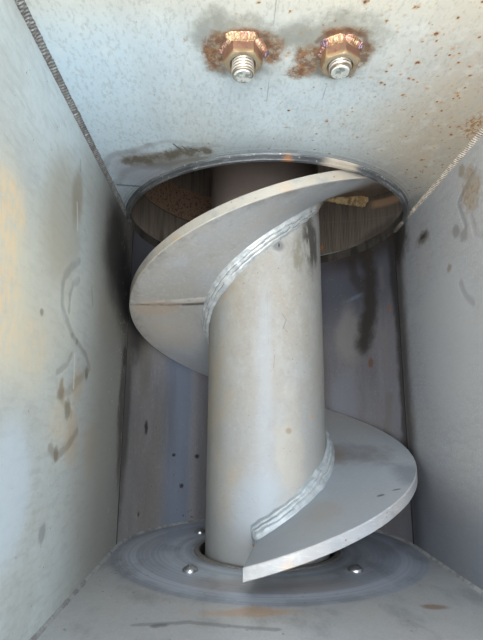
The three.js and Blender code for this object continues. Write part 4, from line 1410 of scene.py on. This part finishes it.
for name, finish in {"left_wall": left_steel, "right_wall": right_steel, "cover_bracket": frame_steel,
                     "journal_key": bright, "drive_journal": bright}.items():
    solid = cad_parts[name]
    solid.data.materials.clear()
    solid.data.materials.append(finish)

# %% [markdown]
# The trough is half a pipe between the two end plates. In section it is a thin half ring, and
# pulled along Y it becomes the sheet. Its edges meet the walls at the seam.

# %% Trough
sheet_outer = -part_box("trough")[0].x
seam_drop = axis_z - seam_z
outer_angle = math.degrees(math.asin(seam_drop / sheet_outer))
inner_angle = math.degrees(math.asin(seam_drop / half_width))
trough_outline = arc(0, axis_z, sheet_outer, 180 + outer_angle, 360 - outer_angle, 120)
trough_outline += arc(0, axis_z, half_width, -inner_angle, inner_angle - 180, 120)
cut_plate("trough_sheet", [trough_outline], near_face, far_face, 0.2 * MM, trough_steel, "trough")
print("trough sheet", round((sheet_outer - half_width) / MM, 1), "mm thick")

# %% [markdown]
# ## Flights
# A flight is flat bar bent on edge. Its section is a thin upright rectangle with a ground edge,
# thicker along Y near the tube, where the helix is steep. Carried along the auger's law, in
# steps of a degree and a half, it gives each blank.


# %% Flight blanks
DEGREES_A_STEP = 1.5


def flight_shape(start, end):
    inner = tube_radius - 0.5 * MM
    ease = 0.8 * MM
    steps = int((end - start) / DEGREES_A_STEP)
    sections = []
    for step in range(steps + 1):
        angle = start + (end - start) * step / steps
        tip = FLIGHT_RADIUS + 0.25 * MM * noise.noise(Vector((angle / 9, 0, 3)))
        section = []
        for radius, side in ((inner, -1), (tip - ease, -1), (tip, -1),
                             (tip, 1), (tip - ease, 1), (inner, 1)):
            offset = half_thickness(radius) - (ease if radius == tip else 0)
            section.append(on_axis(helix_y(angle) + side * offset) + outward(angle) * radius)
        sections.append(section)
    return skin(sections)


RIM_STRIPS = (1, 2, 3)
flight_ends = (START_ANGLE, *JOINT_ANGLES, END_ANGLE)
for blank in range(3):
    shape = flight_shape(flight_ends[blank], flight_ends[blank + 1])
    rim_faces = [face for face in range(len(shape[1]) - 2) if face % 6 in RIM_STRIPS]
    make_piece(f"flight_blank_{blank + 1}", shape, flight_steel, "auger",
               [f"auger_flight_{blank + 1}"], other=rim_steel, strip=rim_faces)
    print("flight blank", blank + 1, "has", len(shape[1]), "faces")

# %% [markdown]
# ## Hard facing
# Where the flight feeds into the basket, its outer margin wears first, so a welder built it up
# with a hard alloy. The strip gets higher towards its end, where it stops short, and it was laid
# in short strokes side by side, which still show as golden ripples.

# %% Hard-faced margin
FACING_START, FACING_END = 360 + 111, 360 + 150
FACING_INNER, FACING_OUTER = 139.5 * MM, 151.3 * MM
FACING_TOP = 15.5 * MM
FACING_STEPS = 115
STROKE_DEGREES = 2.9
sections = []
for step in range(FACING_STEPS + 1):
    angle = FACING_START + (FACING_END - FACING_START) * step / FACING_STEPS
    falling = 1 - (angle - FACING_START) / (FACING_END - FACING_START)
    top = FACING_TOP * (0.12 + 0.88 * falling ** 1.1)
    face_y = helix_y(angle) - half_thickness(FACING_OUTER)
    section = []
    for share in (0.0, 0.0, 0.15, 0.3, 0.45, 0.6, 0.75, 0.9, 1.0, 1.0):
        radius = FACING_INNER + (FACING_OUTER - FACING_INNER) * share
        hump = 0.45 + 0.55 * math.sin(math.pi * min(1, share * 0.9 + 0.2))
        depth = 0.0 if len(section) in (0, 9) else top * hump
        stroke = math.sin(2 * math.pi * (angle / STROKE_DEGREES + share * 0.35))
        lump = 0.55 * stroke + 0.8 * noise.noise(Vector((angle / 1.7, share * 3, 2)))
        depth += lump * MM if depth else -1 * MM
        radius += 0.5 * lump * MM if depth > 0 and share < 1 else 0
        section.append(on_axis(face_y - depth) + outward(angle) * radius)
    sections.append(section)
make_piece("hard_facing", skin(sections), golden_weld, "auger", sharp_above=50)
print("hard facing covers", FACING_END - FACING_START, "degrees")

# %% [markdown]
# The tube is a pipe, and a welded plug closes its far end. Both are outlines of radius and y,
# turned all the way round the axis.

# %% Tube and end cap
WALL = 6.3 * MM
tube_profile = eased([
    (tube_radius - WALL, tube_low.y), (tube_radius, tube_low.y),
    (tube_radius, tube_high.y), (tube_radius - WALL, tube_high.y),
], 0.8 * MM)
make_piece("tube", turned(tube_profile, steps=180), tube_steel, "auger", ["auger_tube"])
cap_low, cap_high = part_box("auger_end_cap")
cap_radius = (cap_high.x - cap_low.x) / 2
cap_profile = [(0, cap_low.y), (cap_radius, cap_low.y), (cap_radius, cap_high.y - 2 * MM),
               (cap_radius - 2 * MM, cap_high.y), (12 * MM, cap_high.y), (10 * MM, cap_high.y - 3 * MM),
               (0, cap_high.y - 3 * MM)]
make_piece("end_cap", turned(cap_profile), frame_steel, "auger", ["auger_end_cap"])
print("tube wall", round(WALL / MM, 1), "mm")

# %% [markdown]
# ## Welds
# A fillet weld fills the corner between two surfaces. Its section runs from one surface to the
# other with a round back, and each further pass leaves a crevice beside the one before. Along
# the seam the puddle froze in ripples, and a hand never holds quite still, so the size and the
# edges wander. One function lays such a bead along any row of corners.

# %% The welding function
ACROSS = 19


def lay_weld(name, path, legs, crown, ripple, wave, lumps, finish, body,
             passes=1, ends=0.0, seed=0.0, crater=0.0):
    """A weld along a row of corners, each a point and the two directions away from it."""
    runs = [0.0]
    for here, ahead in zip(path, path[1:]):
        runs.append(runs[-1] + (ahead[0] - here[0]).length)
    sections = []
    crevice_faces = []
    for index, (run, (corner, *sides)) in enumerate(zip(runs, path)):
        back = (sides[0] + sides[1]).normalized()
        size = 1 + 0.15 * noise.noise(Vector((run / legs[0] / 3, seed, 0)))
        if ends:
            size *= math.sqrt(min(1.0, (min(run, runs[-1] - run) + 0.2 * MM) / ends))
        toes = []
        for leg in legs:
            wander = noise.noise(Vector((run / legs[0] * 1.3, seed, 7 * leg / legs[1])))
            toes.append(leg * size * (1 + 0.13 * wander))
        grooves = [middle + 0.09 * noise.noise(Vector((run / legs[0] / 1.3, seed, middle * 9)))
                   for middle in (0.36, 0.62)]
        section = [corner - back * 0.6 * MM]
        for step in range(ACROSS):
            share = step / (ACROSS - 1)
            base = corner + sides[0] * toes[0] * (1 - share) + sides[1] * toes[1] * share
            bulge = math.sin(math.pi * share)
            height = crown * bulge ** 0.7
            height += ripple * math.sin(2 * math.pi * (run / wave + 0.5 * bulge))
            height += lumps * noise.noise(Vector((run / legs[0] * 2.2, share * 3.1, seed + 5)))
            for groove in grooves[:passes - 1]:
                height -= 0.42 * crown * math.exp(-((share - groove) / 0.07) ** 2)
            if crater:
                from_crater = math.hypot((runs[-1] - 3.2 * MM - run) / (2.2 * MM), (share - 0.5) / 0.3)
                height -= crater * math.exp(-from_crater ** 2)
            section.append(base + back * height * size * min(1.0, 5 * share, 5 * (1 - share)))
        sections.append(section)
        if index < len(path) - 1:
            for number, groove in enumerate(grooves[:passes - 1]):
                if noise.noise(Vector((run / legs[0] / 2.4, seed + 4, number * 3))) > -0.12:
                    crevice_faces.append(index * (ACROSS + 1) + 1 + int(groove * (ACROSS - 1)))
    make_piece(name, skin(sections), finish, body, sharp_above=50,
               other=crevice if passes > 1 else None, strip=crevice_faces)
    print(name, round(runs[-1] / MM), "mm long")


# %% [markdown]
# The flight is welded to the tube on both of its sides, all the way, with three passes. At the
# drive end the bead is led round the flight's end face, as a welder would close it.

# %% Welds of the flight
lead = math.atan(PITCH / (2 * math.pi * tube_radius))


def round_the_start(path):
    """The weld's path, begun on the flight's end face and led round its corner."""
    along = path[0][1]
    back = outward(START_ANGLE - 90) * 0.5
    foot = on_axis(helix_y(START_ANGLE)) + outward(START_ANGLE) * tube_radius
    reach = half_thickness(tube_radius)
    before = []
    for step in range(17):
        side = -1 + 2 * step / 16
        before.append((foot + Vector((0, side * reach, 0)), back, outward(START_ANGLE)))
    for step in range(1, 6):
        turned_away = back.lerp(along, step / 6)
        before.append((foot + Vector((0, reach + 0.1 * MM * step, 0)), turned_away, outward(START_ANGLE)))
    return before + path


for side, name in ((-1, "weld_near_side"), (1, "weld_far_side")):
    path = []
    start, end = START_ANGLE + 1, END_ANGLE - 1
    count = int((end - start) / 0.8)
    for index in range(count + 1):
        angle = start + (end - start) * index / count
        corner = on_axis(helix_y(angle) + side * half_thickness(tube_radius)) + outward(angle) * tube_radius
        along = Vector((0, side * math.cos(lead), 0)) - side * math.sin(lead) * outward(angle + 90)
        path.append((corner, along.normalized(), outward(angle)))
    if side == 1:
        path = round_the_start(path)
    lay_weld(name, path, (12 * MM, 8.5 * MM), 1.9 * MM, 0.22 * MM, 2.6 * MM, 0.9 * MM, auger_weld,
             "auger", passes=3, ends=14 * MM, seed=side)


# %% [markdown]
# The walls are welded to the end plates with small, even beads. The far ones show in the
# photograph as rows of bright and dark scales, so their ripples are cut closer. The left far bead
# is painted darker as a shaded copy and the right one lighter and beige as a lit copy. Between each
# wall and the trough runs a dark, thin joint, and a fine bead holds the collar.


# %% Seam welds of the hopper
def corner_row(start, end, first, second, step=0.7 * MM):
    """Corners in a straight row, with the two directions away from them."""
    start, end = Vector(start), Vector(end)
    count = int((end - start).length / step)
    return [(start.lerp(end, index / count), Vector(first), Vector(second)) for index in range(count + 1)]


def corner_arc(y, radius, start, end, sign):
    """Corners round the auger's axis on an end plate, facing out for 1 and in for -1."""
    inward = Vector((0, -1 if y == far_face else 1, 0))
    count = int(radius * math.radians(end - start) / (0.8 * MM))
    angles = [start + (end - start) * index / count for index in range(count + 1)]
    return [(on_axis(y) + outward(angle) * radius, outward(angle) * sign, inward) for angle in angles]


SEAM_LEGS = {"left": 3.6 * MM, "right": 3.1 * MM}
for side, name, finish in ((-1, "left", dark_seam), (1, "right", light_seam)):
    x = side * half_width
    top = rim_top - 2 * MM
    path = corner_row((x, far_face, top), (x, far_face, seam_z), (-side, 0, 0), (0, -1, 0), 0.45 * MM)
    leg = SEAM_LEGS[name]
    lay_weld(f"seam_far_{name}", path, (leg, leg), 0.4 * MM, 0.25 * MM, 2.0 * MM, 0.25 * MM,
             finish, "housing", ends=9 * MM, seed=side)
    path = corner_row((x, near_face, top), (x, near_face, seam_z), (-side, 0, 0), (0, 1, 0))
    lay_weld(f"seam_near_{name}", path, (2.2 * MM, 2.2 * MM), 0.3 * MM, 0.1 * MM, 2.2 * MM, 0.2 * MM,
             seam_weld, "housing", seed=side + 4)

JOINT_HALF = 1.7 * MM
JOINT_STEPS = 120
for side, name in ((-1, "left"), (1, "right")):
    joint_x = side * (half_width - 0.25 * MM)
    sections = []
    for step in range(JOINT_STEPS + 1):
        y = near_face + (far_face - near_face) * step / JOINT_STEPS
        proud = 0.3 * MM + 0.15 * MM * noise.noise(Vector((y * 60, side, 0)))
        inside, outside = joint_x - side * proud, joint_x + side * 0.4 * MM
        sections.append([(x, y, seam_z + z) for x, z in (
            (outside, -JOINT_HALF), (joint_x, -JOINT_HALF), (inside, -0.6 * MM),
            (inside, 0.6 * MM), (joint_x, JOINT_HALF), (outside, JOINT_HALF))])
    make_piece(f"joint_{name}", skin(sections), joint_steel, "housing", sharp_above=60)
print("wall joints", round((far_face - near_face) / MM), "mm long")

path = corner_arc(near_face, half_width, 90 + inner_angle, 270 - inner_angle, -1)
lay_weld("seam_near_round", path, (2.2 * MM, 2.2 * MM), 0.3 * MM, 0.1 * MM, 2.2 * MM, 0.2 * MM,
         seam_weld, "housing", seed=9)
path = corner_arc(far_face, collar_outer, -COLLAR_HALF_ANGLE, COLLAR_HALF_ANGLE, 1)
lay_weld("collar_weld", path, (1.8 * MM, 1.7 * MM), 0.2 * MM, 0.06 * MM, 1.8 * MM, 0.2 * MM,
         collar_steel, "housing", ends=6 * MM, seed=12)

# %% [markdown]
# ## Weld nuts and threaded ends
# A hexagon nut is a hexagonal bar whose end was turned to a cone, which leaves the curved
# corners that everybody knows. Here each level of the nut takes the smaller of the hexagon and
# the cone. The thread is a real one: the radius falls and rises once for each pitch.

# %% Nuts and threads
AROUND = 72
CONE_SLOPE = 1.7


def hexagon_nut(centre, across_flats, base, top, bore, turn=0):
    """A nut along Y with a flat or, turned, a corner up, from its base to its chamfered top."""
    direction = 1 if top > base else -1
    loops = []
    for below_top in (abs(top - base), 2.5 * MM, 1.9 * MM, 1.3 * MM, 0.8 * MM, 0.4 * MM, 0.1 * MM, 0.0):
        cone = across_flats * 0.5 + CONE_SLOPE * below_top
        if below_top == 0.0:
            cone -= 0.25 * MM
        loop = []
        for step in range(AROUND):
            from_flat = (360 / AROUND * step - turn + 30) % 60 - 30
            loop.append(min(across_flats / 2 / math.cos(math.radians(from_flat)), cone))
        loops.append((loop, top - direction * below_top))
    loops.append(([bore * 1.1] * AROUND, top))
    loops.append(([bore] * AROUND, top - direction * 0.9 * MM))
    loops.append(([bore] * AROUND, base))
    sections = []
    for radii, y in loops:
        angles = [2 * math.pi * step / AROUND for step in range(AROUND)]
        sections.append([(centre[0] + radius * math.sin(angle), y, centre[1] + radius * math.cos(angle))
                         for radius, angle in zip(radii, angles)])
    return skin(sections, joined=True)


def threaded_rod(centre, radius, start, end, around=48):
    """A rod along Y with a helical thread of 2 mm pitch and a blunt, hammered end."""
    pitch = 2 * MM
    count = int(abs(end - start) / (pitch / 8))
    sections = []
    for step in range(count + 1):
        y = start + (end - start) * step / count
        worn = min(1.0, 0.8 + 0.1 * abs(end - y) / MM)
        section = []
        for index in range(around):
            phase = (abs(y - start) / pitch + index / around) % 1
            local = (radius - 0.5 * pitch * (1 - abs(2 * phase - 1))) * worn
            angle = 2 * math.pi * index / around
            section.append((centre[0] + local * math.sin(angle), y, centre[1] + local * math.cos(angle)))
        sections.append(section)
    direction = 1 if end > start else -1
    for share in (0.75, 0.5, 0.25, 0.08):
        section = []
        for index in range(around):
            angle = 2 * math.pi * index / around
            local = 0.72 * radius * share
            x, z = centre[0] + local * math.sin(angle), centre[1] + local * math.cos(angle)
            dent = 0.45 * MM * (0.5 + noise.noise(Vector((x, z, 0)) * 260))
            section.append((x, end - direction * max(0, dent), z))
        sections.append(section)
    return skin(sections)


# %% [markdown]
# The left nut was welded on with a flat up, along its three upper flats, and the right one with
# a corner up, so that two runs meet over the corner. Each run is given by the flat it lies on,
# by where it starts and ends along the flat, and by its width. It ends in a small crater, where
# the puddle shrank as the arc went out.

# %% Weld nuts, bolts and their welds
NUT_FLATS = 21 * MM
STUD_RADIUS = 7 * MM
NUT_BORE = 7.4 * MM
HEAD_HEIGHT = 9 * MM
NUT_TURNS = {"left": 0, "right": 34}
NUT_RUNS = {
    "left": ((0, 8.5, -11, 3.1), (60, -4.5, 11.5, 3.0), (-60, 4.5, -10, 2.6)),
    "right": ((-60, 6.3, -9.0, 3.1), (0, -6.3, 8.8, 3.1), (-120, 5, -6, 2.4)),
}
for (across, above), side in zip(nut_places, ("left", "right")):
    centre = (across * MM, axis_z + above * MM)
    turn = NUT_TURNS[side]
    nut_low, nut_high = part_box(f"weld_nut_{side}")
    bolt_low, bolt_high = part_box(f"bracket_bolt_{side}")
    make_piece(f"nut_{side}", hexagon_nut(centre, NUT_FLATS, far_face, nut_low.y, NUT_BORE, turn),
               tinted, "housing", [f"weld_nut_{side}"], 25)
    head_base = bolt_high.y - HEAD_HEIGHT
    thread = threaded_rod(centre, STUD_RADIUS, head_base, bolt_low.y)
    head = hexagon_nut(centre, NUT_FLATS, head_base, bolt_high.y, 1 * MM)
    make_piece(f"bolt_{side}", merged(thread, head), bright, "housing",
               [f"bracket_bolt_{side}"], 40)
    for number, (flat, start, end, leg) in enumerate(NUT_RUNS[side], 1):
        away = outward(flat + turn)
        tangent = outward(flat + turn + 90)
        middle = Vector((centre[0], far_face, centre[1])) + away * NUT_FLATS / 2
        path = corner_row(middle + tangent * start * MM, middle + tangent * end * MM,
                          away, (0, -1, 0), 0.3 * MM)
        lay_weld(f"nut_weld_{side}_{number}", path, (leg * MM, leg * MM), 0.8 * MM, 0.26 * MM, 1.7 * MM,
                 0.4 * MM, nut_weld, "housing", ends=2.6 * MM, seed=across + flat,
                 crater=1.1 * MM)

# %% [markdown]
# ## Gland and bearing
# Four dome-head screws hold the gland ring, which closes the gap round the tube, and the flange
# bearing behind the plate. Their profiles are turned, as they were on a lathe.

# %% Screws, gland ring and bearing
HEAD = 4.4 * MM
HEAD_RADIUS = 7 * MM
SHANK = 4 * MM
SOCKET = 2.5 * MM
SCREW_NUT_FLATS = 13 * MM
SCREW_NUT_HEIGHT = 6.5 * MM
BEARING_FLANGE = 14 * MM
for number, (x, z) in enumerate(CORNERS, 1):
    centre = (x * SCREW_OFFSET, axis_z + z * SCREW_OFFSET)
    dome = [(0, near_face + HEAD - SOCKET), (SOCKET, near_face + HEAD - SOCKET),
            (SOCKET, near_face + HEAD - 0.2 * MM), (3.0 * MM, near_face + HEAD)]
    for degrees in (35, 48, 60, 72, 82, 90):
        angle = math.radians(degrees)
        dome.append((HEAD_RADIUS * math.sin(angle), near_face + HEAD * math.cos(angle) ** 0.8))
    shank_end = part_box(f"flange_screw_{number}")[0].y
    dome += [(SHANK, near_face), (SHANK, shank_end), (0, shank_end)]
    nut_base = near_outer - BEARING_FLANGE
    screw_nut = hexagon_nut(centre, SCREW_NUT_FLATS, nut_base, nut_base - SCREW_NUT_HEIGHT, SHANK)
    make_piece(f"screw_{number}", merged(turned(dome, *centre, steps=48), screw_nut), screw_steel,
               "housing", [f"flange_screw_{number}"])

gland_low, gland_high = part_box("gland_ring")
gland_outer = (gland_high.x - gland_low.x) / 2
GLAND_INNER = 68.5 * MM
gland_profile = eased([(GLAND_INNER, gland_low.y), (gland_outer, gland_low.y),
                       (gland_outer, gland_high.y), (GLAND_INNER, gland_high.y)], 0.7 * MM)
make_piece("gland", turned(gland_profile, steps=160), gland_steel, "housing", ["gland_ring"])

bearing_low, bearing_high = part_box("flange_bearing")
BORE = 30.6 * MM
boss = [(BORE, near_outer), (BORE, bearing_low.y + 1 * MM), (BORE + 1 * MM, bearing_low.y)]
for radius, back in ((46, 0), (48, 2), (50, 5), (58, 6), (60, 8)):
    boss.append((radius * MM, bearing_low.y + back * MM))
for radius, front in ((60, 20), (62, 16), (66, 14), (66, 0)):
    boss.append((radius * MM, near_outer - front * MM))
half = bearing_high.x
FLANGE_CORNER = 18 * MM
flange_outline = []
for x, z, start in ((-1, -1, 180), (1, -1, 270), (1, 1, 0), (-1, 1, 90)):
    flange_outline += arc(x * (half - FLANGE_CORNER), axis_z + z * (half - FLANGE_CORNER),
                          FLANGE_CORNER, start, start + 90, 10)
cut_plate("bearing_flange", [flange_outline, circle(0, axis_z, 62 * MM)], near_outer - BEARING_FLANGE,
          near_outer, 1.5 * MM, iron, "flange_bearing")
make_piece("bearing_boss", turned(boss), iron, "housing", ["flange_bearing"])
print("gland ring", round(gland_outer / MM), "mm in radius")

# %% [markdown]
# ## Screen basket
# The basket is wedge wire: hundreds of thin bars along the auger with narrow slots between
# them, held by hoops. Drawn in section it is a half ring with a comb of grooves on its inside,
# and that one section, pulled along Y, gives all the bars at once.

# %% Basket halves
WIRES = 360
WIRE_ANGLE = 360 / WIRES
SLOT_DEPTH = 1.1 * MM
BASKET_GAP = 1.5 * MM
FLANGE_THICK = 8 * MM
wall_outer = OPENING + 4 * MM
flange_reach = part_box("basket_upper")[1].x
flange_angle = math.degrees(math.asin(FLANGE_THICK / wall_outer))
for half_name, sign, start in (("upper", 1, 0), ("lower", -1, 180)):
    outline = [(sign * OPENING, axis_z), (sign * flange_reach, axis_z),
               (sign * flange_reach, axis_z + sign * FLANGE_THICK)]
    outline += arc(0, axis_z, wall_outer, start + flange_angle, start + 180 - flange_angle, 96)
    outline += [(-sign * flange_reach, axis_z + sign * FLANGE_THICK), (-sign * flange_reach, axis_z),
                (-sign * OPENING, axis_z)]
    for wire in range(WIRES // 2):
        middle = start + 180 - (wire + 0.5) * WIRE_ANGLE
        for turn, depth in ((0.2, 0), (0.07, SLOT_DEPTH), (-0.07, SLOT_DEPTH), (-0.2, 0)):
            angle = math.radians(middle + turn * WIRE_ANGLE)
            radius = OPENING + depth
            outline.append((radius * math.cos(angle), axis_z + radius * math.sin(angle)))
    cut_plate(f"wedge_wire_{half_name}", [outline], far_outer + BASKET_GAP, basket_end, 0.05 * MM, brown,
              f"basket_{half_name}")
print("wires", WIRES, "pitch", round(2 * math.pi * OPENING / MM / WIRES, 2), "mm")

# %% Hoops and tie rods
HOOP_OUTER = 171 * MM
hoop_inner = wall_outer + 0.3 * MM
hoop_gap = FLANGE_THICK + 0.3 * MM
inner_end = math.degrees(math.asin(hoop_gap / hoop_inner))
outer_end = math.degrees(math.asin(hoop_gap / HOOP_OUTER))
for name in ("upper_1", "upper_2", "lower_1", "lower_2"):
    low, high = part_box(f"basket_hoop_{name}")
    start = 0 if name.startswith("upper") else 180
    outline = arc(0, axis_z, HOOP_OUTER, start + outer_end, start + 180 - outer_end, 96)
    outline += arc(0, axis_z, hoop_inner, start + 180 - inner_end, start + inner_end, 96)
    cut_plate(f"hoop_{name}", [outline], low.y, high.y, 0.8 * MM, frame_steel, f"basket_hoop_{name}")

ROD_RADIUS = 8 * MM
ROD_THREAD = 40 * MM
ROD_NUT_FLATS = 24 * MM
ROD_NUT_HEIGHT = 15 * MM
for number, (x, z) in enumerate(CORNERS, 1):
    centre = (x * ROD_OFFSET, axis_z + z * ROD_OFFSET)
    low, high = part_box(f"tie_rod_{number}")
    thread_start = basket_end - ROD_THREAD
    rod = turned([
        (0, low.y), (ROD_RADIUS, low.y), (ROD_RADIUS, thread_start),
        (ROD_RADIUS - 1 * MM, thread_start + 1 * MM), (0, thread_start + 1 * MM)], *centre, steps=32)
    thread = threaded_rod(centre, ROD_RADIUS, thread_start, high.y, 24)
    rod_nut = hexagon_nut(centre, ROD_NUT_FLATS, basket_outer, basket_outer + ROD_NUT_HEIGHT, ROD_RADIUS)
    make_piece(f"rod_{number}", merged(rod, thread, rod_nut), bright, "housing",
               [f"tie_rod_{number}"], 40)
print("rod thread", round(ROD_THREAD / MM), "mm")
